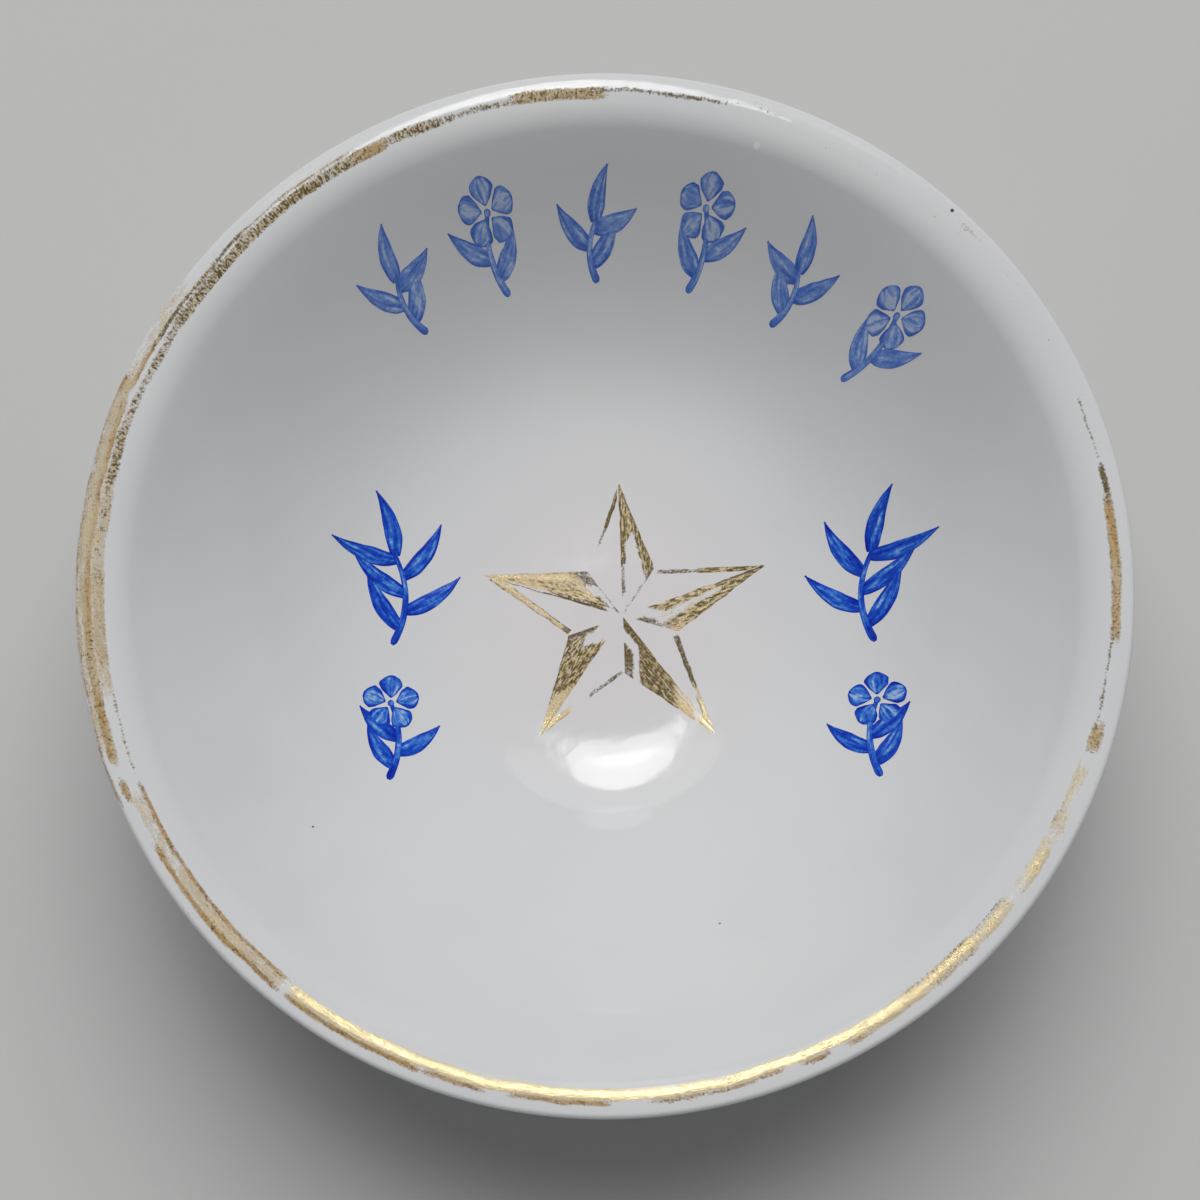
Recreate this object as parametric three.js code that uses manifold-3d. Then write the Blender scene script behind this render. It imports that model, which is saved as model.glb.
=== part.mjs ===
// A shallow porcelain sake cup, in millimetres, +Z up, its origin at the middle of the circle it stands on.
// The clay is a flared bowl with a foot ring luted under it. Clear glaze covers both but for the foot's
// standing edge. On the glaze are a gilt line round the lip, a gilt star in the well, and blue sprigs.
// Slopes, tapers and angles are in degrees. A share is a part of the length or width that it belongs to.
import * as THREE from "three";
import { mergeVertices } from "three/addons/utils/BufferGeometryUtils.js";
import Module from "manifold-3d";

const wasm = await Module();
wasm.setup();

// The finished cup
const RIM_DIAMETER = 76;
const CUP_HEIGHT = 26;
const FLOOR_HEIGHT = 9;

// The inside: a shallow well, then a wall that flares out to the lip
const WELL_RADIUS = 21;
const WELL_RISE = 3;
const WELL_EDGE_SLOPE = 32;
const WELL_FLATNESS = 13;
const WELL_EDGE_PULL = 6;
const WALL_FOOT_PULL = 6.5;
const WALL_TOP_PULL = 5;

// The lip: the wall rolls out over the crest, and is rounded off tightly at the edge of the cup
const LIP_INSIDE_SLOPE = 47;
const LIP_ROLL = 3.8;
const LIP_CREST_INSET = 1.1;
const LIP_EDGE_ROUND = 0.55;

// The outside: one sweep from the lip to the foot
const LIP_OUTSIDE_SLOPE = 49;
const LIP_OUTSIDE_PULL = 8;
const BELLY_SLOPE = 26;
const BELLY_PULL = 8;

// The foot ring
const FOOT_DIAMETER = 31.6;
const FOOT_HEIGHT = 5.9;
const FOOT_EDGE_WIDTH = 2.3;
const FOOT_OUTSIDE_TAPER = 7;
const FOOT_INSIDE_TAPER = 9;
const FOOT_RECESS_DEPTH = 5;
const FOOT_FILLET = 1.3;
const RECESS_FILLET = 1;
const FOOT_EDGE_ROUND = 0.4;

// What is laid on the clay
const GLAZE_THICKNESS = 0.25;
const GLAZE_LINE_HEIGHT = 1.2;
const GOLD_THICKNESS = 0.05;
const ENAMEL_THICKNESS = 0.08;
const GILT_LINE_INSET = 2.15;
const GILT_LINE_END_ANGLE = -74;
const SEAT_GAP = 0.01;
const SLIP_JOINT = 0.02;

// The gilt star in the well, painted by hand a little off the axis. Half of each point is filled with gold.
const STAR_REACH = [10.3, 11.1, 11.1, 11.4, 11.5];
const STAR_WAIST = 4.4;
const STAR_OFF_AXIS = 1.4;
const STAR_TURN_ANGLE = 2;
const STAR_LINE_WIDTH = 0.28;
const STAR_LINE_START_SHARE = 0.25;
const STAR_PARTING = 0.12;
const HALF_POINT_SHARE = 0.5;

// The blue motifs, all from one brush: a stem with leaves on both sides that ends in a leaf or in a blossom
const STEM_WIDTH = 0.6;
const STEM_TAPER_SHARE = 0.45;
const STEM_BOW_SHARE = 0.08;
const LEAF_WIDTH = 1.3;
const LEAF_LEAN_ANGLE = 54;
const LEAF_CURL_ANGLE = 11;
const LEAF_SPACING = 1.35;
const LAST_LEAF_GAP_SHARE = 0.5;
const TOP_LEAF_SHARE = 0.95;
const PETALS = 5;
const PETAL_RADIUS = 0.88;
const PETAL_RING = 1.3;

// How a leaf's width swells and dies away: where on a half wave it starts and how much of it it follows, the
// power that brings its widest place forward, and its narrowest share
const LEAF_WAVE_START_SHARE = 0.12;
const LEAF_WAVE_SHARE = 0.86;
const LEAF_WAVE_POWER = 0.8;
const LEAF_NARROWEST_SHARE = 0.12;

// Six motifs follow an arc on the far wall, at a distance in from the rim. The first one is on the left.
const ARC_FROM_RIM = 9.3;
const ARC_MIDDLE_ANGLE = 83.3;
const ARC_STEP_ANGLE = 15.8;
const ARC_MOTIFS = 6;
const ARC_MOTIF_HEIGHT = 7.4;
const ARC_LEAF_LENGTH = 3.5;

// Two motifs stand one over the other on either side of the star, at a distance in from the edge of the well.
const LEFT_COLUMN_INSET = 4.6;
const RIGHT_COLUMN_INSET = 0.3;
const UPPER_MOTIF_RISE = 3.8;
const UPPER_MOTIF_HEIGHT = 12.4;
const UPPER_LEAF_LENGTH = 5.1;
const LOWER_MOTIF_DROP = 8.9;
const LOWER_MOTIF_HEIGHT = 8.2;
const LOWER_LEAF_LENGTH = 3.8;

// Steps round the cup, along each stretch of its outline, and along a brush stroke
const TURNS = 48;
const WELL_STEPS = 5;
const WALL_STEPS = 4;
const LIP_STEPS = 2;
const OUTSIDE_STEPS = 6;
const EDGE_STEPS = 2;
const STROKE_STEPS = 5;
const PETAL_STEPS = 6;

const radians = THREE.MathUtils.degToRad;
const degrees = THREE.MathUtils.radToDeg;

// A unit vector along a heading, in degrees anticlockwise from outward.
function along(heading) {
  return new THREE.Vector2(Math.cos(radians(heading)), Math.sin(radians(heading)));
}

// The outline of the clay is walked from the axis over the well, the lip, the outside and the foot, and back
// to the axis underneath, with the clay always on the right. A station is a point of it and the way out.
function station(point, heading) {
  return { point, out: along(heading + 90) };
}

// An arc about a centre between two headings. It turns right round clay, and left round a hollow.
function bend(centre, radius, fromHeading, toHeading, steps) {
  const side = toHeading < fromHeading ? 1 : -1;
  return Array.from({ length: steps + 1 }, (_, i) => {
    const heading = THREE.MathUtils.lerp(fromHeading, toHeading, i / steps);
    const point = centre.clone().addScaledVector(along(heading + 90), side * radius);
    return station(point, heading);
  });
}

// The centre of the arc that rounds a corner between two straight runs.
function roundingCentre(corner, fromHeading, toHeading, radius) {
  const turn = toHeading - fromHeading;
  const side = Math.sign(turn);
  const back = radius * Math.abs(Math.tan(radians(turn) / 2));
  return corner
    .clone()
    .addScaledVector(along(fromHeading), -back)
    .addScaledVector(along(fromHeading + 90), side * radius);
}

// A smooth sweep between two points with a heading and a pull at each, in even steps along its length.
function sweep(start, startHeading, startPull, end, endHeading, endPull, steps) {
  const curve = new THREE.CubicBezierCurve(
    start,
    start.clone().addScaledVector(along(startHeading), startPull),
    end.clone().addScaledVector(along(endHeading), -endPull),
    end,
  );
  return Array.from({ length: steps + 1 }, (_, i) => {
    const tangent = curve.getTangentAt(i / steps);
    return station(curve.getPointAt(i / steps), degrees(Math.atan2(tangent.y, tangent.x)));
  });
}

// The lip of the clay. The gilt line starts at a distance in from the rim, and ends a little over its edge.
const rollRadius = LIP_ROLL - GLAZE_THICKNESS;
const edgeRadius = LIP_EDGE_ROUND - GLAZE_THICKNESS;
const rollCentre = new THREE.Vector2(RIM_DIAMETER / 2 - LIP_CREST_INSET, CUP_HEIGHT - LIP_ROLL);
const edgeHeading = -degrees(Math.asin((LIP_CREST_INSET - LIP_EDGE_ROUND) / (LIP_ROLL - LIP_EDGE_ROUND)));
const edgeCentre = rollCentre.clone().addScaledVector(along(edgeHeading + 90), rollRadius - edgeRadius);
const giltHeading = degrees(Math.asin((GILT_LINE_INSET - LIP_CREST_INSET) / LIP_ROLL));
const lipRise = bend(rollCentre, rollRadius, LIP_INSIDE_SLOPE, giltHeading, LIP_STEPS);
const lipCrest = bend(rollCentre, rollRadius, giltHeading, edgeHeading, LIP_STEPS);
const lipEdge = bend(edgeCentre, edgeRadius, edgeHeading, GILT_LINE_END_ANGLE, LIP_STEPS);

// The inside of the clay
const clayFloor = FLOOR_HEIGHT - GLAZE_THICKNESS;
const wellMiddle = new THREE.Vector2(0, clayFloor);
const wellEdge = new THREE.Vector2(WELL_RADIUS, clayFloor + WELL_RISE);
const well = sweep(wellMiddle, 0, WELL_FLATNESS, wellEdge, WELL_EDGE_SLOPE, WELL_EDGE_PULL, WELL_STEPS);
const wall = sweep(
  wellEdge, WELL_EDGE_SLOPE, WALL_FOOT_PULL, lipRise[0].point, LIP_INSIDE_SLOPE, WALL_TOP_PULL, WALL_STEPS,
);

// The outside of the bowl, from under the lip to the middle of the fillet over the foot
const outsideHeading = LIP_OUTSIDE_SLOPE - 180;
const lipFlank = bend(edgeCentre, edgeRadius, GILT_LINE_END_ANGLE, -90, 1);
const lipUnder = bend(edgeCentre, edgeRadius, -90, outsideHeading, 1);
const bellyHeading = BELLY_SLOPE - 180;
const footDown = -90 - FOOT_OUTSIDE_TAPER;
const footUp = -270 + FOOT_INSIDE_TAPER;

// A point on the foot's outer or inner side at a height
function footOutside(height) {
  return new THREE.Vector2(FOOT_DIAMETER / 2 + height * Math.tan(radians(FOOT_OUTSIDE_TAPER)), height);
}
function footInside(height) {
  const edge = FOOT_DIAMETER / 2 - FOOT_EDGE_WIDTH;
  return new THREE.Vector2(edge - height * Math.tan(radians(FOOT_INSIDE_TAPER)), height);
}

const filletMiddle = (bellyHeading + footDown) / 2;
const filletCentre = roundingCentre(footOutside(FOOT_HEIGHT), bellyHeading, footDown, FOOT_FILLET);
const filletAbove = bend(filletCentre, FOOT_FILLET, bellyHeading, filletMiddle, 1);
const filletBelow = bend(filletCentre, FOOT_FILLET, filletMiddle, footDown, 1);
const outside = sweep(
  lipUnder.at(-1).point, outsideHeading, LIP_OUTSIDE_PULL,
  filletAbove[0].point, bellyHeading, BELLY_PULL, OUTSIDE_STEPS,
);

// The standing edge of the foot, and the recess inside it
const outsideCentre = roundingCentre(footOutside(0), footDown, -180, FOOT_EDGE_ROUND);
const edgeOutside = bend(outsideCentre, FOOT_EDGE_ROUND, footDown, -180, EDGE_STEPS);
const insideCentre = roundingCentre(footInside(0), -180, footUp, FOOT_EDGE_ROUND);
const edgeInside = bend(insideCentre, FOOT_EDGE_ROUND, -180, footUp, EDGE_STEPS);
const recessMiddle = (footUp - 180) / 2;
const recessCentre = roundingCentre(footInside(FOOT_RECESS_DEPTH), footUp, -180, RECESS_FILLET);
const recessBelow = bend(recessCentre, RECESS_FILLET, footUp, recessMiddle, 1);
const recessAbove = bend(recessCentre, RECESS_FILLET, recessMiddle, -180, 1);
const recessTop = station(new THREE.Vector2(0, FOOT_RECESS_DEPTH), -180);
const glazeLineOutside = station(footOutside(GLAZE_LINE_HEIGHT), footDown);
const glazeLineInside = station(footInside(GLAZE_LINE_HEIGHT), footUp);

// Stretches of the outline end to end, each shared station kept once.
function run(...stretches) {
  const stations = stretches.flat();
  return stations.filter((s, i) => i === 0 || s.point.distanceTo(stations[i - 1].point) > SEAT_GAP);
}

// The points at a distance out from the clay.
function offset(stations, distance) {
  return stations.map(({ point, out }) => point.clone().addScaledVector(out, distance));
}

// A body turned about the axis. Its outline has the solid on its left.
function turned(outline) {
  const geometry = new THREE.LatheGeometry(outline, TURNS);
  geometry.rotateX(Math.PI / 2);
  geometry.deleteAttribute("normal");
  geometry.deleteAttribute("uv");
  return mergeVertices(geometry);
}

// The outline of a coat from one distance out of the clay to another. It closes on the axis or on itself.
function coat(stations, near, far) {
  const inner = offset(stations, near);
  const outer = offset(stations, far).reverse();
  const onAxis = inner[0].x === 0 || outer[0].x === 0;
  return onAxis ? [...inner, ...outer] : [...inner, ...outer, inner[0]];
}

function solid(geometry) {
  const triVerts = new Uint32Array(geometry.index.array);
  return new wasm.Manifold(
    new wasm.Mesh({ numProp: 3, vertProperties: geometry.attributes.position.array, triVerts }),
  );
}

function geometryOf(body) {
  const { vertProperties, triVerts } = body.getMesh();
  const geometry = new THREE.BufferGeometry();
  geometry.setAttribute("position", new THREE.BufferAttribute(vertProperties, 3));
  geometry.setIndex(new THREE.BufferAttribute(triVerts, 1));
  return geometry;
}

// The upright prism over a flat shape, tall enough to pass through the whole cup
function prism(shape) {
  const geometry = new THREE.ExtrudeGeometry(shape, {
    depth: CUP_HEIGHT,
    bevelEnabled: false,
    curveSegments: PETAL_STEPS,
  });
  geometry.deleteAttribute("normal");
  geometry.deleteAttribute("uv");
  return solid(mergeVertices(geometry));
}

// Painted layers are cut out of a thin coat that lies on the glaze and has the glaze's own facets.
const inside = run(well, wall);
const goldOnGlaze = GLAZE_THICKNESS + SEAT_GAP;
const goldCoat = solid(turned(coat(inside, goldOnGlaze, goldOnGlaze + GOLD_THICKNESS)));
const enamelCoat = solid(turned(coat(inside, goldOnGlaze, goldOnGlaze + ENAMEL_THICKNESS)));

function painted(layer, shapes) {
  const prisms = shapes.map(prism);
  const outline = prisms.reduce((all, next) => all.add(next));
  return geometryOf(layer.intersect(outline));
}

// A polygon drawn in by a margin on every side
function drawnIn(corners, margin) {
  const count = corners.length;
  return corners.map((corner, i) => {
    const before = corner.clone().sub(corners[(i + count - 1) % count]).normalize();
    const after = corners[(i + 1) % count].clone().sub(corner).normalize();
    const turn = before.cross(after);
    const inward = after.clone().sub(before).multiplyScalar(margin / turn);
    return corner.clone().add(inward);
  });
}

// The star's gilt half points, and the thin lines that close its other half points. Shares count the points
// anticlockwise from the top one, so that a waist lies half a share to either side of a tip.
const starCentre = new THREE.Vector2(STAR_OFF_AXIS, 0);
const starPoints = STAR_REACH.length;
function starAt(radius, share) {
  return starCentre.clone().addScaledVector(along(90 + STAR_TURN_ANGLE + (360 * share) / starPoints), radius);
}

function starHalf(index) {
  const waist = starAt(STAR_WAIST, index - HALF_POINT_SHARE);
  const tip = starAt(STAR_REACH[index], index);
  return [new THREE.Shape(drawnIn([starCentre, waist, tip], STAR_PARTING))];
}

function starLine(index) {
  const tip = starAt(STAR_REACH[index], index);
  const waist = starAt(STAR_WAIST, index + HALF_POINT_SHARE);
  const way = waist.clone().sub(tip).normalize();
  const inward = new THREE.Vector2(-way.y, way.x).multiplyScalar(STAR_LINE_WIDTH);
  const start = tip.clone().lerp(waist, STAR_LINE_START_SHARE);
  const end = waist.clone().addScaledVector(way, -2 * STAR_PARTING);
  return [new THREE.Shape([start, end, end.clone().add(inward), start.clone().add(inward)])];
}

// A brush stroke along a curve, its width a share of the full one at each share of its length
function stroke(curve, fullWidth, widthAt) {
  const left = [];
  const right = [];
  for (let i = 0; i <= STROKE_STEPS; i += 1) {
    const share = i / STROKE_STEPS;
    const middle = curve.getPoint(share);
    const way = curve.getTangent(share);
    const aside = new THREE.Vector2(-way.y, way.x).multiplyScalar((fullWidth * widthAt(share)) / 2);
    left.push(middle.clone().add(aside));
    right.push(middle.clone().sub(aside));
  }
  return new THREE.Shape([...right, ...left.reverse()]);
}

const stemWidth = (share) => 1 - STEM_TAPER_SHARE * share;
function leafWidth(share) {
  const wave = (LEAF_WAVE_START_SHARE + LEAF_WAVE_SHARE * share) ** LEAF_WAVE_POWER;
  return Math.max(LEAF_NARROWEST_SHARE, Math.sin(Math.PI * wave));
}

function leaf(from, heading, side, length) {
  const elbow = from.clone().addScaledVector(along(heading + side * LEAF_CURL_ANGLE), length / 2);
  const end = from.clone().addScaledVector(along(heading - (side * LEAF_CURL_ANGLE) / 2), length);
  return stroke(new THREE.QuadraticBezierCurve(from, elbow, end), LEAF_WIDTH, leafWidth);
}

function petal(centre) {
  const shape = new THREE.Shape();
  return shape.absarc(centre.x, centre.y, PETAL_RADIUS, 0, 2 * Math.PI);
}

// A motif about a spot, growing along a heading, its stem bowed to one side
function sprig(spot, heading, side, height, leafLength, blossom) {
  const head = blossom ? PETAL_RING + PETAL_RADIUS : leafLength;
  const up = along(heading);
  const foot = spot.clone().addScaledVector(up, -height / 2);
  const tip = spot.clone().addScaledVector(up, height / 2 - head);
  const bowed = along(heading + 90 * side).multiplyScalar(2 * STEM_BOW_SHARE * height);
  const elbow = foot.clone().lerp(tip, 0.5).add(bowed);
  const stem = new THREE.QuadraticBezierCurve(foot, elbow, tip);
  const shapes = [stroke(stem, STEM_WIDTH, stemWidth)];
  const bare = blossom ? head : 0;
  const count = Math.round((height - head - bare) / LEAF_SPACING);
  for (let i = 1; i <= count; i += 1) {
    const share = (i / (count + LAST_LEAF_GAP_SHARE)) * (1 - bare / (height - head));
    const way = stem.getTangent(share);
    const leafSide = i % 2 === 0 ? side : -side;
    const leafHeading = degrees(Math.atan2(way.y, way.x)) + leafSide * LEAF_LEAN_ANGLE;
    shapes.push(leaf(stem.getPoint(share), leafHeading, leafSide, leafLength));
  }
  if (!blossom) {
    const topLeaf = leaf(stem.getPoint(TOP_LEAF_SHARE), heading - side * LEAF_CURL_ANGLE, side, leafLength);
    return [...shapes, topLeaf];
  }
  const petals = Array.from({ length: PETALS }, (_, i) =>
    petal(tip.clone().addScaledVector(along(heading + (360 * i) / PETALS), PETAL_RING)),
  );
  return [...shapes, ...petals];
}

// Finishes
const clay = { color: 0xe6e2d8, roughness: 0.8, metalness: 0 };
const glaze = { color: 0xe9ecee, roughness: 0.12, metalness: 0 };
const gold = { color: 0x9c7c3c, roughness: 0.35, metalness: 0.9 };
const blue = { color: 0x1e46b4, roughness: 0.25, metalness: 0 };

const cup = new THREE.Group();
cup.name = "sake_cup";

function add(name, geometry, finish) {
  const mesh = new THREE.Mesh(geometry, new THREE.MeshStandardMaterial(finish));
  mesh.name = name;
  cup.add(mesh);
}

// The clay. The joint between bowl and foot runs straight from one fillet's middle to the other's.
const overLip = run(lipRise, lipCrest, lipEdge, lipFlank, lipUnder);
const bowlOutline = run(well, wall, overLip, outside, filletAbove, recessAbove, [recessTop]);
const footOutline = run(filletBelow, edgeOutside, edgeInside, recessBelow);
const footPoints = offset(footOutline, 0);
footPoints[0].y -= SLIP_JOINT;
footPoints.at(-1).y -= SLIP_JOINT;
add("bowl_body", turned(offset(bowlOutline, 0).reverse()), clay);
add("foot_ring", turned([...footPoints, footPoints[0]].reverse()), clay);

// The glaze, in two coats that stop at the glaze lines on either side of the foot
const coatOutline = run(well, wall, overLip, outside, filletAbove, filletBelow, [glazeLineOutside]);
const recessOutline = run([glazeLineInside], recessBelow, recessAbove, [recessTop]);
add("glaze_coat", turned(coat(coatOutline, SEAT_GAP, GLAZE_THICKNESS)), glaze);
add("foot_recess_glaze", turned(coat(recessOutline, SEAT_GAP, GLAZE_THICKNESS)), glaze);

// The gold
const giltOutline = run(lipCrest, lipEdge);
add("gilt_rim_line", turned(coat(giltOutline, goldOnGlaze, goldOnGlaze + GOLD_THICKNESS)), gold);
for (let i = 0; i < starPoints; i += 1) {
  add(`gilt_star_half_point_${i + 1}`, painted(goldCoat, starHalf(i)), gold);
  add(`gilt_star_line_${i + 1}`, painted(goldCoat, starLine(i)), gold);
}

// The blue
const arcRadius = RIM_DIAMETER / 2 - ARC_FROM_RIM;
for (let i = 0; i < ARC_MOTIFS; i += 1) {
  const heading = ARC_MIDDLE_ANGLE + ARC_STEP_ANGLE * ((ARC_MOTIFS - 1) / 2 - i);
  const spot = along(heading).multiplyScalar(arcRadius);
  const side = i < ARC_MOTIFS / 2 ? 1 : -1;
  const shapes = sprig(spot, heading, side, ARC_MOTIF_HEIGHT, ARC_LEAF_LENGTH, i % 2 === 1);
  add(`blue_motif_far_${i + 1}`, painted(enamelCoat, shapes), blue);
}
for (const [name, side, inset] of [["left", -1, LEFT_COLUMN_INSET], ["right", 1, RIGHT_COLUMN_INSET]]) {
  const x = side * (WELL_RADIUS - inset);
  const upperSpot = new THREE.Vector2(x, UPPER_MOTIF_RISE);
  const lowerSpot = new THREE.Vector2(x, -LOWER_MOTIF_DROP);
  const upper = sprig(upperSpot, 90, side, UPPER_MOTIF_HEIGHT, UPPER_LEAF_LENGTH, false);
  const lower = sprig(lowerSpot, 90, side, LOWER_MOTIF_HEIGHT, LOWER_LEAF_LENGTH, true);
  add(`blue_motif_${name}_upper`, painted(enamelCoat, upper), blue);
  add(`blue_motif_${name}_lower`, painted(enamelCoat, lower), blue);
}

export default cup;
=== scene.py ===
"""Looks of a shallow porcelain sake cup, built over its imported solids.

The classes work in millimetres in the frame's own axes, with +Z up the cup's axis and +Y towards the arc of
blue motifs, and meshes are made in metres. Headings and azimuths are in degrees, anticlockwise.
"""

import logging
import math
from dataclasses import dataclass, field
from enum import Enum

import bpy
import numpy as np
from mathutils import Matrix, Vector, noise


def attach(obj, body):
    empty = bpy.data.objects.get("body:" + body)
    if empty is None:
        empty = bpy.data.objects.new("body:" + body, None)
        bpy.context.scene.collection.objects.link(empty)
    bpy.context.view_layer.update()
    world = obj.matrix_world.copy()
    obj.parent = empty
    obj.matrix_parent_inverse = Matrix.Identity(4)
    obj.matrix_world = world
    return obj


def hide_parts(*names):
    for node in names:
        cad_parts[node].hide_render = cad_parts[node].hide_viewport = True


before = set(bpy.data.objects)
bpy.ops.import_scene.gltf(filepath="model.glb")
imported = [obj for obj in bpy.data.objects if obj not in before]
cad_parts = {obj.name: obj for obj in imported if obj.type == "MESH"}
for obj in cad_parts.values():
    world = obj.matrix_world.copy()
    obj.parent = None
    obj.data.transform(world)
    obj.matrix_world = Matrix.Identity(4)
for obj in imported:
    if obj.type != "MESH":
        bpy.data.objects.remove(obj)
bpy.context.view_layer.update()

MM = 0.001
BODY = "root"
SWEEP_SAMPLES = 400
SHARP_ANGLE = 50.0
NOISE_SPAN = (0.3, 0.7)
SEED_STEPS = (7.31, 1.7)
NEARLY_ZERO = 1e-9
TINY = 1e-6
log = logging.getLogger("sake_cup")


def along(heading: float) -> np.ndarray:
    """Gives the unit vector along a heading."""
    return np.array([math.cos(math.radians(heading)), math.sin(math.radians(heading))])


def smooth_step(low: float, high: float, value: np.ndarray) -> np.ndarray:
    """Rises smoothly from 0 to 1.

    Args:
        low: The value up to which the result is 0.
        high: The value from which the result is 1.
        value: The values to ease.

    Returns:
        The eased values.
    """
    share = np.clip((value - low) / (high - low), 0.0, 1.0)
    return share * share * (3.0 - 2.0 * share)


def dome(share: np.ndarray) -> np.ndarray:
    """Rises like a half circle from 0 at a share of 0 to 1 at a half, and falls back to 0 at 1."""
    return np.sqrt(np.clip(4.0 * share * (1.0 - share), 0.0, 1.0))


def wander(shares: np.ndarray, pace: float, seed: float) -> np.ndarray:
    """Gives a smooth, repeatable wobble between about -1 and 1.

    Args:
        shares: Places along a line, from 0 to 1.
        pace: How many times the wobble changes over the line.
        seed: A number that sets this line's wobble apart from others.

    Returns:
        One value for each place.
    """
    aside, above = (seed * step for step in SEED_STEPS)
    return np.array([noise.noise(Vector((float(share) * pace, aside, above))) for share in shares])


@dataclass(frozen=True)
class Line:
    """A stretch of the clay's outline.

    It holds its points as (radius, height), and the way out of the clay at each.
    """

    points: np.ndarray
    outs: np.ndarray

    def offset(self, distance: float) -> np.ndarray:
        """Gives the points at a distance out of the clay."""
        return self.points + self.outs * distance

    def and_then(self, *others: "Line") -> "Line":
        """Gives one line that runs straight on to the first point of each stretch that follows."""
        lines = (self, *others)
        return Line(*(np.concatenate([getattr(line, key) for line in lines]) for key in ("points", "outs")))

    def joined(self, *others: "Line") -> "Line":
        """Puts stretches end to end.

        Args:
            others: The stretches that follow this one, each starting where the one before it ends.

        Returns:
            One line that holds each shared point once.
        """
        return self.and_then(*(Line(other.points[1:], other.outs[1:]) for other in others))


def station(point: np.ndarray, out: float) -> Line:
    """Makes a line of one point, where out is the heading of the way out of the clay."""
    return Line(point[None], np.array([along(out)]))


def arc(centre: np.ndarray, radius: float, start: float, end: float, steps: int) -> Line:
    """Bends the outline about a centre.

    Args:
        centre: The arc's centre.
        radius: Its radius.
        start: The heading at its start.
        end: The heading at its end. A right turn goes round clay, and a left turn round a hollow.
        steps: How many steps it takes.

    Returns:
        The arc as a line.
    """
    side = 1.0 if end < start else -1.0
    outs = np.array([along(heading + 90.0) for heading in np.linspace(start, end, steps + 1)])
    return Line(centre + outs * side * radius, outs)


def rounding_centre(corner: np.ndarray, start: float, end: float, radius: float) -> np.ndarray:
    """Finds the centre of the arc that rounds a corner.

    Args:
        corner: Where the two straight runs meet.
        start: The heading of the first run.
        end: The heading of the second run.
        radius: The arc's radius.

    Returns:
        The centre.
    """
    back = radius * abs(math.tan(math.radians(end - start) / 2.0))
    side = math.copysign(1.0, end - start)
    return corner - along(start) * back + along(start + 90.0) * side * radius


def bowed(start: np.ndarray, elbow: np.ndarray, end: np.ndarray, share: np.ndarray | float) -> np.ndarray:
    """Gives the point at a share of a line that is bowed towards its elbow."""
    return (1 - share) ** 2 * start + 2 * share * (1 - share) * elbow + share**2 * end


def bowed_way(start: np.ndarray, elbow: np.ndarray, end: np.ndarray, share: np.ndarray | float) -> np.ndarray:
    """Gives the way that the bowed line takes at a share of it."""
    return (1 - share) * (elbow - start) + share * (end - elbow)


def curve(knots: list[np.ndarray], share: np.ndarray) -> np.ndarray:
    """Gives points of a curve.

    Args:
        knots: Its start, the two places that pull at it, and its end.
        share: The shares of it at which the points are wanted, as a column.

    Returns:
        The points.
    """
    rest = 1.0 - share
    first, second, third, fourth = knots
    return rest**3 * first + 3 * rest**2 * share * second + 3 * rest * share**2 * third + share**3 * fourth


def sweep(start: np.ndarray, leave: tuple[float, float], end: np.ndarray, arrive: tuple[float, float],
          steps: int) -> Line:
    """Runs a smooth curve between two points.

    Args:
        start: The first point.
        leave: The heading and the pull at the first point.
        end: The last point.
        arrive: The heading and the pull at the last point.
        steps: How many steps it takes.

    Returns:
        The curve as a line.
    """
    knots = [start, start + along(leave[0]) * leave[1], end - along(arrive[0]) * arrive[1], end]
    shares = np.linspace(0.0, 1.0, SWEEP_SAMPLES)
    strides = np.linalg.norm(np.diff(curve(knots, shares[:, None]), axis=0), axis=1)
    lengths = np.concatenate([[0.0], np.cumsum(strides)])
    at = np.interp(np.linspace(0.0, 1.0, steps + 1), lengths / lengths[-1], shares)[:, None]
    way = bowed(knots[1] - knots[0], knots[2] - knots[1], knots[3] - knots[2], at)
    way /= np.linalg.norm(way, axis=1)[:, None]
    return Line(curve(knots, at), np.stack([-way[:, 1], way[:, 0]], axis=1))


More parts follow.
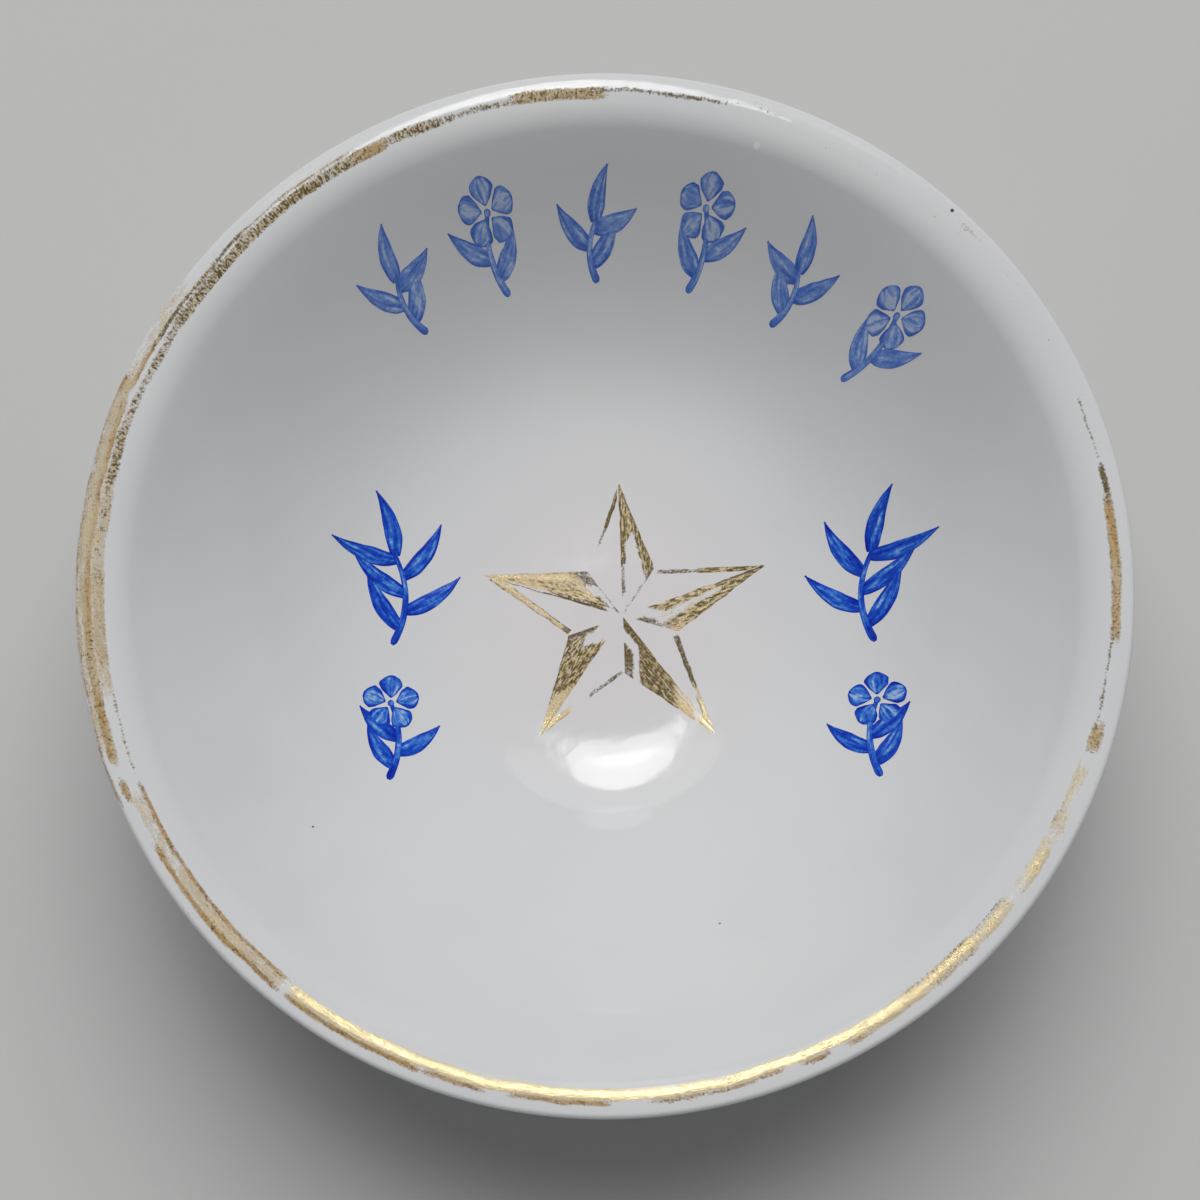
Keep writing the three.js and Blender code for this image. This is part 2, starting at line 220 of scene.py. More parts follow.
@dataclass
class CupProfile:
    """The clay's outline, from the axis over the well, the lip, the outside and the foot and back to it.

    The fields whose names end in steps say how finely the stretches are divided.
    """

    rim_diameter: float = 76.0
    cup_height: float = 26.0
    floor_height: float = 9.0
    well_radius: float = 21.0
    well_rise: float = 3.0
    well_edge_slope: float = 32.0
    well_flatness: float = 11.0
    well_edge_pull: float = 6.0
    wall_foot_pull: float = 6.5
    wall_top_pull: float = 5.0
    lip_inside_slope: float = 47.0
    lip_rise_roll: float = 3.45
    lip_crest_roll: float = 8.0
    lip_crest_inset: float = 0.42
    lip_edge_round: float = 0.40
    lip_outside_slope: float = 49.0
    lip_outside_pull: float = 8.0
    belly_slope: float = 26.0
    belly_pull: float = 8.0
    foot_diameter: float = 31.6
    foot_height: float = 5.9
    foot_edge_width: float = 2.3
    foot_outside_taper: float = 7.0
    foot_inside_taper: float = 9.0
    foot_recess_depth: float = 5.0
    foot_fillet: float = 1.3
    recess_fillet: float = 1.0
    foot_edge_round: float = 0.4
    glaze_thickness: float = 0.25
    glaze_line_height: float = 1.2
    gilt_line_inset: float = 2.15
    gilt_line_over_edge: float = -74.0
    seat_gap: float = 0.01
    slip_joint: float = 0.02
    inside_steps: int = 40
    outside_steps: int = 60
    lip_edge_steps: int = 12
    lip_crest_steps: int = 16
    lip_under_steps: int = 10
    foot_fillet_steps: int = 5
    foot_edge_steps: int = 6
    recess_fillet_steps: int = 4

    def __post_init__(self) -> None:
        """Works out the stretches of the outline from the sizes."""
        self.shape_lip()
        middle = np.array([0.0, self.floor_height - self.glaze_thickness])
        edge = middle + np.array([self.well_radius, self.well_rise])
        well_end = (self.well_edge_slope, self.well_edge_pull)
        wall_start = (self.well_edge_slope, self.wall_foot_pull)
        wall_end = (self.lip_inside_slope, self.wall_top_pull)
        self.well = sweep(middle, (0.0, self.well_flatness), edge, well_end, self.inside_steps)
        self.wall = sweep(edge, wall_start, self.lip_rise.points[0], wall_end, self.inside_steps)
        belly = self.belly_slope - 180.0
        down = -90.0 - self.foot_outside_taper
        up = self.foot_inside_taper - 270.0
        fillet = rounding_centre(self.foot_outside(self.foot_height), belly, down, self.foot_fillet)
        turn = (belly + down) / 2
        self.fillet_above = arc(fillet, self.foot_fillet, belly, turn, self.foot_fillet_steps)
        self.fillet_below = arc(fillet, self.foot_fillet, turn, down, self.foot_fillet_steps)
        self.outside = sweep(
            self.lip_under.points[-1], (self.lip_outside_slope - 180.0, self.lip_outside_pull),
            self.fillet_above.points[0], (belly, self.belly_pull), self.outside_steps,
        )
        soft = self.foot_edge_round
        outer = rounding_centre(self.foot_outside(0.0), down, -180.0, soft)
        inner = rounding_centre(self.foot_inside(0.0), -180.0, up, soft)
        self.edge_outside = arc(outer, soft, down, -180.0, self.foot_edge_steps)
        self.edge_inside = arc(inner, soft, -180.0, up, self.foot_edge_steps)
        recess = rounding_centre(self.foot_inside(self.foot_recess_depth), up, -180.0, self.recess_fillet)
        turn = (up - 180.0) / 2
        self.recess_below = arc(recess, self.recess_fillet, up, turn, self.recess_fillet_steps)
        self.recess_above = arc(recess, self.recess_fillet, turn, -180.0, self.recess_fillet_steps)
        self.recess_top = station(np.array([0.0, self.foot_recess_depth]), -90.0)
        self.line_outside = station(self.foot_outside(self.glaze_line_height), down + 90.0)
        self.line_inside = station(self.foot_inside(self.glaze_line_height), up + 90.0)

    def shape_lip(self) -> None:
        """Works out the lip: the roll over its crest, its tight edge, and the gilt line's two ends."""
        rise = self.lip_rise_roll - self.glaze_thickness
        roll = self.lip_crest_roll - self.glaze_thickness
        edge = self.lip_edge_round - self.glaze_thickness
        crest = self.rim_diameter / 2 - self.lip_crest_inset
        centre = np.array([crest, self.cup_height - self.lip_crest_roll])
        reach = (self.lip_crest_inset - self.lip_edge_round) / (self.lip_crest_roll - self.lip_edge_round)
        edge_heading = -math.degrees(math.asin(reach))
        edge_centre = centre + along(edge_heading + 90.0) * (roll - edge)
        gilt = math.degrees(math.asin((self.gilt_line_inset - self.lip_crest_inset) / self.lip_crest_roll))
        rise_centre = centre + along(gilt + 90.0) * (roll - rise)
        over, under = self.gilt_line_over_edge, self.lip_outside_slope - 180.0
        self.lip_rise = arc(rise_centre, rise, self.lip_inside_slope, gilt, self.lip_edge_steps)
        self.lip_crest = arc(centre, roll, gilt, edge_heading, self.lip_crest_steps)
        self.lip_edge = arc(edge_centre, edge, edge_heading, over, self.lip_edge_steps)
        self.lip_under = arc(edge_centre, edge, over, under, self.lip_under_steps)

    def foot_outside(self, height: float) -> np.ndarray:
        """Gives the point on the foot's outer side at a height."""
        lean = height * math.tan(math.radians(self.foot_outside_taper))
        return np.array([self.foot_diameter / 2 + lean, height])

    def foot_inside(self, height: float) -> np.ndarray:
        """Gives a point on the foot's inner side.

        Args:
            height: Its height.

        Returns:
            The point, as (radius, height).
        """
        edge = self.foot_diameter / 2 - self.foot_edge_width
        lean = height * math.tan(math.radians(self.foot_inside_taper))
        return np.array([edge - lean, height])

    def on_glaze(self, plan: np.ndarray, lift: np.ndarray) -> np.ndarray:
        """Lays points of a plan on the glazed inside of the cup.

        Args:
            plan: The points seen from above, as an array that ends in (x, y).
            lift: How far each lies above the glaze.

        Returns:
            The points as an array that ends in (x, y, z).
        """
        line = self.well.joined(self.wall, self.lip_rise)
        surface = line.offset(self.glaze_thickness)
        radius = np.linalg.norm(plan, axis=-1)
        out = [np.interp(radius, surface[:, 0], line.outs[:, k]) for k in (0, 1)]
        height = np.interp(radius, surface[:, 0], surface[:, 1]) + out[1] * lift
        spread = 1.0 + out[0] * lift / np.maximum(radius, TINY)
        return np.concatenate([plan * spread[..., None], height[..., None]], axis=-1)


def mesh_piece(name: str, points: np.ndarray, faces: list[tuple[int, ...]], material: bpy.types.Material,
               slot: str, nodes: list[str]) -> bpy.types.Object:
    """Makes a smooth piece of the cup that stands for some of its solids.

    Args:
        name: The piece's name.
        points: Its vertices in millimetres.
        faces: Its faces, as indices of vertices.
        material: Its material.
        slot: The material slot of the record; it is not used.
        nodes: The solids that it stands for.

    Returns:
        The piece, riding on the cup's body.
    """
    mesh = bpy.data.meshes.new(name)
    mesh.from_pydata((points * MM).tolist(), [], faces)
    mesh.validate()
    mesh.shade_smooth()
    mesh.set_sharp_from_angle(angle=math.radians(SHARP_ANGLE))
    mesh.materials.append(material)
    piece = bpy.data.objects.new(name, mesh)
    bpy.context.scene.collection.objects.link(piece)
    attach(piece, BODY)
    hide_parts(*nodes)
    log.info("%s: %d vertices for %s", name, len(points), ", ".join(nodes))
    return piece


def paint_values(piece: bpy.types.Object, name: str, values: np.ndarray) -> None:
    """Stores a number or a vector for each vertex of a piece.

    Args:
        piece: The piece.
        name: The name under which its material finds the values.
        values: One number or one row of three for each vertex.
    """
    kind, key = ("FLOAT", "value") if values.ndim == 1 else ("FLOAT_VECTOR", "vector")
    attribute = piece.data.attributes.new(name, kind, "POINT")
    attribute.data.foreach_set(key, values.astype(np.float32).ravel())


def turned(outline: np.ndarray, segments: int) -> tuple[np.ndarray, list[tuple[int, ...]]]:
    """Turns an outline about the cup's axis.

    Args:
        outline: The points as (radius, height), with the solid on their left. It ends on the axis at both
            ends, or else closes on itself without repeating a point.
        segments: How many steps go round.

    Returns:
        The vertices and the faces.
    """
    azimuths = np.linspace(0.0, 2.0 * math.pi, segments, endpoint=False)
    ring = np.stack([np.cos(azimuths), np.sin(azimuths)], axis=1)
    points: list[np.ndarray] = []
    rows: list[list[int]] = []
    count = 0
    for radius, height in outline:
        size = 1 if radius < NEARLY_ZERO else segments
        plan = ring[:size] * radius
        points.append(np.column_stack([plan, np.full(size, height)]))
        rows.append([count + (k % size) for k in range(segments + 1)])
        count += size
    closes = outline[0][0] > NEARLY_ZERO
    faces = []
    for below, above in zip(rows, rows[1:] + rows[:1] if closes else rows[1:]):
        for k in range(segments):
            corners = (below[k], below[k + 1], above[k + 1], above[k])
            faces.append(tuple(dict.fromkeys(corners)))
    return np.concatenate(points), faces


def film(top: np.ndarray, bottom: np.ndarray,
         rings: bool) -> tuple[np.ndarray, list[tuple[int, ...]], np.ndarray]:
    """Closes a thin layer between two grids of points that meet at their borders.

    Args:
        top: The outer grid, as an array of (along, across, 3).
        bottom: The grid under it.
        rings: Whether the grid's second direction closes on itself.

    Returns:
        The vertices, the faces, and for each vertex the place in the grid that it comes from.
    """
    rows, columns = top.shape[:2]
    border = np.zeros((rows, columns), bool)
    border[[0, -1], :] = True
    if not rings:
        border[:, [0, -1]] = True
    upper = np.arange(rows * columns).reshape(rows, columns)
    inner = np.flatnonzero(~border)
    lower = upper.copy()
    lower.ravel()[inner] = rows * columns + np.arange(len(inner))
    faces = []
    steps = columns if rings else columns - 1
    for i in range(rows - 1):
        for j in range(steps):
            k = (j + 1) % columns
            faces.append((upper[i, j], upper[i + 1, j], upper[i + 1, k], upper[i, k]))
            faces.append((lower[i, j], lower[i, k], lower[i + 1, k], lower[i + 1, j]))
    points = np.concatenate([top.reshape(-1, 3), bottom.reshape(-1, 3)[inner]])
    return points, [tuple(int(c) for c in face) for face in faces], np.concatenate([upper.ravel(), inner])


class MaterialGraph:
    """A material that is put together one node at a time."""

    def __init__(self, name: str) -> None:
        """Starts a material with a bare shader.

        Args:
            name: The material's name.
        """
        self.material = bpy.data.materials.new(name)
        self.material.use_nodes = True
        self.tree = self.material.node_tree
        self.shader = self.tree.nodes["Principled BSDF"]

    def node(self, kind: str, inputs: dict | None = None, **settings: object) -> bpy.types.Node:
        """Adds a node.

        Args:
            kind: The node's type.
            inputs: What goes into its sockets, by name or number: a value or another node's socket.
            settings: Its own settings.

        Returns:
            The node.
        """
        made = self.tree.nodes.new(kind)
        for key, value in settings.items():
            setattr(made, key, value)
        for key, value in (inputs or {}).items():
            self.feed(made.inputs[key], value)
        return made

    def feed(self, socket: bpy.types.NodeSocket, value: object) -> None:
        """Puts a value into a socket, or links another socket to it.

        Args:
            socket: The socket that takes it.
            value: The value, or the socket that it comes from.
        """
        if isinstance(value, bpy.types.NodeSocket):
            self.tree.links.new(value, socket)
        else:
            socket.default_value = value

    def finish(self, **inputs: object) -> bpy.types.Material:
        """Feeds the shader's sockets.

        Args:
            inputs: What goes in, by the socket's name with its spaces as underscores.

        Returns:
            The material.
        """
        for key, value in inputs.items():
            self.feed(self.shader.inputs[key.replace("_", " ")], value)
        return self.material

    def place(self) -> bpy.types.NodeSocket:
        """Gives the point on the object, in metres."""
        return self.node("ShaderNodeTexCoord").outputs["Object"]

    def stored(self, name: str, vector: bool = False) -> bpy.types.NodeSocket:
        """Gives a value that is stored in the mesh."""
        return self.node("ShaderNodeAttribute", attribute_name=name).outputs["Vector" if vector else "Fac"]

    def grain(self, where: bpy.types.NodeSocket, scale: float, detail: float = 3.0) -> bpy.types.NodeSocket:
        """Gives a noise that mostly spans 0 to 1.

        Args:
            where: The point to read it at.
            scale: How fine it is.
            detail: How many finer layers it has.

        Returns:
            The stretched noise.
        """
        inputs = {"Vector": where, "Scale": scale, "Detail": detail}
        return self.ranged(self.node("ShaderNodeTexNoise", inputs).outputs["Fac"], *NOISE_SPAN)

    def ranged(self, value: bpy.types.NodeSocket, low: float, high: float, to_low: float = 0.0,
               to_high: float = 1.0) -> bpy.types.NodeSocket:
        """Maps a range of values on another and holds them inside it.

        Args:
            value: The value to map.
            low: Where the range starts.
            high: Where it ends.
            to_low: What its start becomes.
            to_high: What its end becomes.

        Returns:
            The mapped value.
        """
        inputs = {"Value": value, "From Min": low, "From Max": high, "To Min": to_low, "To Max": to_high}
        return self.node("ShaderNodeMapRange", inputs, clamp=True).outputs["Result"]

    def sum(self, operation: str, a: object, b: object, held: bool = True) -> bpy.types.NodeSocket:
        """Works out a sum of two values, and holds it between 0 and 1 if it is to be held."""
        return self.node("ShaderNodeMath", {0: a, 1: b}, operation=operation, use_clamp=held).outputs[0]

    def vectors(self, operation: str, a: object, b: object, output: str = "Vector") -> bpy.types.NodeSocket:
        """Works out a sum of two vectors, and gives the node's output of the given name."""
        return self.node("ShaderNodeVectorMath", {0: a, 1: b}, operation=operation).outputs[output]

    def blended(self, share: object, first: object, second: object) -> bpy.types.NodeSocket:
        """Mixes two numbers.

        Args:
            share: How much of the second goes in, from 0 to 1.
            first: The number at a share of 0.
            second: The number at a share of 1.

        Returns:
            The mixed number.
        """
        mixer = self.node("ShaderNodeMix", data_type="FLOAT")
        for index, value in ((0, share), (2, first), (3, second)):
            self.feed(mixer.inputs[index], value)
        return mixer.outputs[0]

    def colours(self, value: bpy.types.NodeSocket, stops: list[tuple[float, tuple]]) -> bpy.types.NodeSocket:
        """Turns a value into a colour.

        Args:
            value: A value from 0 to 1.
            stops: Places on that range, each with its colour.

        Returns:
            The colour.
        """
        ramp = self.node("ShaderNodeValToRGB", {"Fac": value})
        elements = ramp.color_ramp.elements
        while len(elements) < len(stops):
            elements.new(0.5)
        for element, (position, colour) in zip(elements, stops):
            element.position = position
            element.color = (*colour, 1.0)
        return ramp.outputs["Color"]

    def mixed(self, share: object, first: object, second: object) -> bpy.types.NodeSocket:
        """Mixes two colours.

        Args:
            share: How much of the second goes in, from 0 to 1.
            first: The colour at a share of 0.
            second: The colour at a share of 1.

        Returns:
            The mixed colour.
        """
        mixer = self.node("ShaderNodeMix", data_type="RGBA")
        for index, value in ((0, share), (6, first), (7, second)):
            self.feed(mixer.inputs[index], (*value, 1.0) if isinstance(value, tuple) else value)
        return mixer.outputs[2]

    def bumps(self, height: bpy.types.NodeSocket, depth: float, strength: object = 1.0,
              finer: bpy.types.NodeSocket | None = None) -> bpy.types.NodeSocket:
        """Raises a relief.

        Args:
            height: The relief, from 0 to 1.
            depth: How deep it is, in millimetres.
            strength: How much of it shows.
            finer: The normal of a finer relief that lies on this one, if there is one.

        Returns:
            The bent normal.
        """
        inputs = {"Height": height, "Distance": depth * MM, "Strength": strength}
        if finer is not None:
            inputs["Normal"] = finer
        return self.node("ShaderNodeBump", inputs).outputs["Normal"]


@dataclass(frozen=True)
class BareClay:
    """Porcelain where no glaze covers it."""

    pale: tuple = (0.74, 0.70, 0.62)
    stained: tuple = (0.50, 0.42, 0.32)
    stained_share: float = 0.35
    stain_scale: float = 180.0
    grit_scale: float = 2600.0
    grit_depth: float = 0.03
    roughness: tuple[float, float] = (0.7, 0.9)

    def material(self) -> bpy.types.Material:
        """Makes the dry, slightly sandy clay.

        Returns:
            The material.
        """
        graph = MaterialGraph("bare_porcelain")
        place = graph.place()
        stain = graph.grain(place, self.stain_scale, 5.0)
        grit = graph.grain(place, self.grit_scale, 2.0)
        stops = [(0.0, self.stained), (self.stained_share, self.pale), (1.0, self.pale)]
        return graph.finish(
            Base_Color=graph.colours(stain, stops),
            Roughness=graph.ranged(grit, 0.0, 1.0, *self.roughness),
            Normal=graph.bumps(grit, self.grit_depth),
        )


@dataclass(frozen=True)
class Speck:
    """A small fault in the glaze: its place seen from above, its radius in millimetres and its colour."""

    x: float
    y: float
    radius: float
    colour: tuple


@dataclass(frozen=True)
class ClearGlaze:
    """Clear glaze on white porcelain, a little uneven, with dark specks and a painted highlight on a bubble.

    A field whose name ends in reach holds the two distances from the axis between which a look comes or goes.
    """

    cool: tuple = (0.70, 0.705, 0.715)
    warm: tuple = (0.735, 0.738, 0.738)
    cloud_scale: float = 45.0
    flush: tuple = (0.745, 0.705, 0.708)
    flush_share: float = 0.8
    flush_reach: tuple[float, float] = (3.0, 15.0)
    ring_scale: float = 420.0
    ring_share: float = 0.35
    ring_reach: tuple[float, float] = (15.0, 24.0)
    ripple_scale: float = 150.0
    ripple_depth: float = 0.04
    ripple_strength: tuple[float, float] = (0.12, 0.5)
    ripple_reach: tuple[float, float] = (9.0, 22.0)
    peel_scale: float = 900.0
    peel_depth: float = 0.004
    peel_strength: float = 0.35
    roughness: tuple[float, float] = (0.04, 0.08)
    refraction: float = 1.5
    speck_core: float = 0.6
    specks: tuple[Speck, ...] = (
        Speck(25.4, 27.4, 0.16, (0.05, 0.04, 0.03)),
        # A pale dot: a painted highlight on a small glaze bubble.
        Speck(11.2, 32.6, 0.30, (0.86, 0.86, 0.84)),
        Speck(-21.5, -17.0, 0.10, (0.16, 0.12, 0.08)),
        Speck(8.5, -24.0, 0.09, (0.20, 0.16, 0.12)),
    )

    def material(self) -> bpy.types.Material:
        """Makes the glaze.

        Returns:
            The material.
        """
        graph = MaterialGraph("clear_glaze_on_white")
        place = graph.place()
        cloud = graph.grain(place, self.cloud_scale, 2.0)
        colour = graph.colours(cloud, [(0.0, self.cool), (1.0, self.warm)])
        flat = graph.vectors("MULTIPLY", place, (1.0, 1.0, 0.0))
        for speck in self.specks:
            away = graph.vectors("DISTANCE", flat, (speck.x * MM, speck.y * MM, 0.0), "Value")
            edge = speck.radius * MM
            share = graph.ranged(away, edge * self.speck_core, edge, 1.0, 0.0)
            colour = graph.mixed(share, colour, speck.colour)
        radius = graph.vectors("LENGTH", flat, (0.0, 0.0, 0.0), "Value")
        flushed = self.by_reach(graph, radius, self.flush_reach, self.flush_share, 0.0)
        colour = graph.mixed(flushed, colour, self.flush)
        inputs = {"W": radius, "Scale": self.ring_scale, "Detail": 2.0}
        rings = graph.node("ShaderNodeTexNoise", inputs, noise_dimensions="1D").outputs["Fac"]
        ringed = self.by_reach(graph, radius, self.ring_reach, 0.0, self.ring_share)
        waves = graph.grain(place, self.ripple_scale, 1.0)
        ripple = graph.blended(ringed, waves, graph.ranged(rings, *NOISE_SPAN))
        peel = graph.grain(place, self.peel_scale, 2.0)
        peeled = graph.bumps(peel, self.peel_depth, self.peel_strength)
        swell = self.by_reach(graph, radius, self.ripple_reach, *self.ripple_strength)
        return graph.finish(
            Base_Color=colour,
            Roughness=graph.ranged(peel, 0.0, 1.0, *self.roughness),
            Normal=graph.bumps(ripple, self.ripple_depth, swell, peeled),
            IOR=self.refraction,
        )

    def by_reach(self, graph: MaterialGraph, radius: bpy.types.NodeSocket, reach: tuple[float, float],
                 inside: float, outside: float) -> bpy.types.NodeSocket:
        """Changes a value over a reach.

        Args:
            graph: The material's graph.
            radius: The distance from the axis in metres.
            reach: The two distances between which the value changes, in millimetres.
            inside: The value up to the first.
            outside: The value from the second.

        Returns:
            The value.
        """
        near, far = reach
        return graph.ranged(radius, near * MM, far * MM, inside, outside)


@dataclass(frozen=True)
class WornGold:
    """Gold that was fired on thin and has worn through.

    The mesh stores how much of it is left, its tone from 0 for brown to 1 for bright gold, the share of it
    that is dull grime and painted shade, how streaky it is, and the flow of its streaks. marks says how fine
    the streaks are along the flow's three directions. tones and veils hold the colour and the cover of clean
    gold at places on the range of tones. A share says how much of one noise goes into another, and a span is
    the range of values over which a look comes in.
    """

    name: str
    marks: tuple[float, float, float]
    # The dark olive-brown grime colour is partly worn, dull gold and partly painted shade where the gold
    # would mirror a dark room.
    grime_and_shade: tuple = (0.150, 0.100, 0.022)
    tones: tuple[tuple[float, tuple], ...] = (
        (0.0, (0.38, 0.235, 0.065)),
        (0.35, (0.66, 0.40, 0.115)),
        (0.6, (0.78, 0.65, 0.42)),
        (0.8, (0.93, 0.74, 0.42)),
        # The top tone's whitish gold is partly a painted highlight, whitened to stand in for the lamp's
        # glint.
        (1.0, (1.0, 0.85, 0.50)),
    )
    veils: tuple[tuple[float, float], ...] = ((0.0, 0.92), (0.4, 0.86), (0.6, 0.62), (0.8, 0.9), (1.0, 1.0))
    spot_shift: tuple[float, float, float] = (7.3, 3.1, 5.9)
    fine_scale: float = 6500.0
    fine_share: float = 0.42
    blotch_scale: float = 0.37
    blotch_share: float = 0.30
    thinning_span: tuple[float, float] = (-0.22, 0.88)
    dash_scale: float = 1.3
    spot_scale: float = 1.9
    dash_fine_share: float = 0.3
    stain_and_shade_span: tuple[float, float] = (-0.14, 0.14)
    stain_and_shade_cover_span: tuple[float, float] = (-0.20, 0.48)
    stain_and_shade_cover: float = 0.92
    stain_and_shade_sheen: float = 0.1
    blotch_tone: float = 0.14
    fine_tone: float = 0.08
    sheen_span: tuple[float, float] = (0.7, 1.0)
    sheen: tuple[float, float] = (0.12, 0.92)
    roughness: tuple[float, float] = (0.12, 0.31)
    dash_depth: float = 0.010
    dash_strength: float = 0.7

    def material(self) -> bpy.types.Material:
        """Makes the gold, see-through where it is worn away.

        Returns:
            The material.
        """
        graph = MaterialGraph(self.name)
        flow = graph.stored("flow", vector=True)
        left, tone, grime_and_shade_share, streaky = (graph.stored(key) for key in ("cover", "tone", "grime_and_shade", "streak"))
        marked = graph.vectors("MULTIPLY", flow, self.marks)
        aside = graph.vectors("ADD", flow, self.spot_shift)
        fine = graph.grain(graph.place(), self.fine_scale, 3.0)
        blotch = graph.grain(aside, self.blotch_scale)
        worn = graph.blended(streaky, graph.grain(marked, 1.0, 4.0), graph.grain(aside, 1.0, 6.0))
        worn = graph.blended(self.blotch_share, graph.blended(self.fine_share, worn, fine), blotch)
        gap = graph.sum("SUBTRACT", left, worn, held=False)
        spots = graph.grain(flow, self.spot_scale, 5.0)
        dashes = graph.blended(streaky, graph.grain(marked, self.dash_scale, 4.0), spots)
        dashes = graph.blended(self.dash_fine_share, dashes, fine)
        # The share of dark olive-brown: partly real grime on the gold, partly painted shade.
        stained = graph.ranged(graph.sum("SUBTRACT", grime_and_shade_share, dashes, held=False), *self.stain_and_shade_span)
        paler = graph.ranged(blotch, *NOISE_SPAN, self.blotch_tone, -self.blotch_tone)
        shade = graph.sum("ADD", graph.ranged(fine, 0.0, 1.0, -self.fine_tone, self.fine_tone), paler)
        clean = graph.colours(graph.sum("ADD", tone, shade), list(self.tones))
        sheen = graph.ranged(tone, *self.sheen_span, *self.sheen)
        veil = graph.colours(tone, [(place, (cover,) * 3) for place, cover in self.veils])
        clear = graph.sum("MULTIPLY", graph.ranged(gap, *self.thinning_span), veil)
        solid = graph.ranged(gap, *self.stain_and_shade_cover_span, 0.0, self.stain_and_shade_cover)
        return graph.finish(
            Base_Color=graph.mixed(stained, clean, self.grime_and_shade),
            Metallic=graph.blended(stained, sheen, self.stain_and_shade_sheen),
            Roughness=graph.ranged(dashes, 0.0, 1.0, *self.roughness),
            Alpha=graph.blended(stained, clear, solid),
            Normal=graph.bumps(dashes, self.dash_depth, self.dash_strength),
        )


@dataclass(frozen=True)
class CobaltEnamel:
    """Blue enamel laid on with a brush, deep where it pools and pale where the brush ran dry."""

    deep: tuple = (0.001, 0.018, 0.38)
    middle: tuple = (0.006, 0.075, 0.56)
    thin: tuple = (0.07, 0.24, 0.70)
    dry: tuple = (0.38, 0.52, 0.76)
    streak_depths: tuple[float, float] = (-1.05, -0.35)
    grain_scale: float = 3200.0
    grain_depth: float = 0.13
    roughness: tuple[float, float] = (0.12, 0.24)
    relief: float = 0.01
    relief_strength: float = 0.5
    refraction: float = 1.5

    def material(self, name: str, strength: float) -> bpy.types.Material:
        """Makes the enamel.

        Args:
            name: The material's name.
            strength: How full the brush was, from 0 to 1.

        Returns:
            The material.
        """
        graph = MaterialGraph(name)
        flow = graph.stored("flow", vector=True)
        pool = graph.stored("pool")
        streak = graph.grain(flow, 1.0, 3.0)
        grain = graph.grain(graph.place(), self.grain_scale, 4.0)
        low, high = (strength + depth for depth in self.streak_depths)
        depth = graph.sum("ADD", pool, graph.ranged(streak, 0.0, 1.0, low, high))
        depth = graph.sum("ADD", depth, graph.ranged(grain, 0.0, 1.0, -self.grain_depth, self.grain_depth))
        stops = [(0.0, self.dry), (0.22, self.thin), (0.5, self.middle), (0.85, self.deep)]
        return graph.finish(
            Base_Color=graph.colours(depth, stops),
            Roughness=graph.ranged(streak, 0.0, 1.0, *self.roughness),
            Normal=graph.bumps(streak, self.relief, self.relief_strength),
            IOR=self.refraction,
        )


@dataclass
class PorcelainBody:
    """The clay: the bowl, and the foot ring luted under it."""

    profile: CupProfile
    segments: int = 192

    def build(self) -> None:
        """Turns the two pieces of clay."""
        p = self.profile
        clay = BareClay().material()
        lip = (p.lip_rise, p.lip_crest, p.lip_edge, p.lip_under)
        bowl = p.well.joined(p.wall, *lip, p.outside, p.fillet_above)
        outline = np.concatenate([bowl.points, p.recess_above.points, p.recess_top.points])[::-1]
        mesh_piece("clay_bowl", *turned(outline, self.segments), clay, "porcelain", ["bowl_body"])
        foot = np.concatenate([
            p.fillet_below.points, p.edge_outside.points, p.edge_inside.points, p.recess_below.points,
        ])
        foot[[0, -1], 1] -= p.slip_joint
        mesh_piece("clay_foot_ring", *turned(foot[::-1], self.segments), clay, "porcelain", ["foot_ring"])


@dataclass
class GlazeCoats:
    """The clear glaze over the cup, and the glaze inside the foot's recess."""

    profile: CupProfile
    segments: int = 256

    def coat(self, stations: Line, on_axis_last: bool) -> np.ndarray:
        """Gives a coat's outline.

        Args:
            stations: The clay's outline under it.
            on_axis_last: Whether the line ends on the axis, where the first coat starts on it.

        Returns:
            The outline, with the glaze on its left.
        """
        inner = stations.offset(self.profile.seat_gap)
        outer = stations.offset(self.profile.glaze_thickness)[::-1]
        return np.concatenate([outer, inner]) if on_axis_last else np.concatenate([inner, outer])

    def build(self) -> None:
        """Turns the two coats."""
        p = self.profile
        glaze = ClearGlaze().material()
        lip = (p.lip_rise, p.lip_crest, p.lip_edge, p.lip_under)
        body = p.well.joined(p.wall, *lip, p.outside, p.fillet_above, p.fillet_below)
        upper = body.and_then(p.line_outside)
        lower = p.line_inside.and_then(p.recess_below.joined(p.recess_above), p.recess_top)
        for name, stations, last, node in (("glaze", upper, False, "glaze_coat"),
                                           ("recess_glaze", lower, True, "foot_recess_glaze")):
            mesh_piece(name, *turned(self.coat(stations, last), self.segments), glaze, "clear_glaze", [node])


class GoldLook(Enum):
    """How a patch of gold looks: its tone, the share of it that is grime and painted shade, and how streaky
    it is.

    Each of the three goes from 0 to 1.
    """

    # The grimy and speckled looks darken the gold partly with real wear and partly with painted shade.
    GRIMY_AND_SHADED = (0.55, 0.70, 0.15)
    SPECKLED = (0.56, 0.50, 0.10)
    BROWN = (0.22, 0.36, 0.60)
    OCHRE = (0.42, 0.37, 0.35)
    CREAM = (0.60, 0.14, 1.0)
    PALE = (0.80, 0.20, 0.85)
    NETTED = (0.78, 0.52, 1.0)
    MATTED = (0.72, 0.60, 0.9)
    GOLDEN = (0.90, 0.22, 0.4)
    # The brightest look is partly a painted highlight: whitened gold laid where the lamp glints.
    BRIGHT_AND_HIGHLIT = (1.0, 0.06, 0.9)


@dataclass(frozen=True)
class GoldPatch:
    """A stretch of gold that is still there.

    It runs from start to end along the piece, and from near to far across it. cover says how much is left.
    """

    start: float
    end: float
    near: float
    far: float
    cover: float
    look: GoldLook


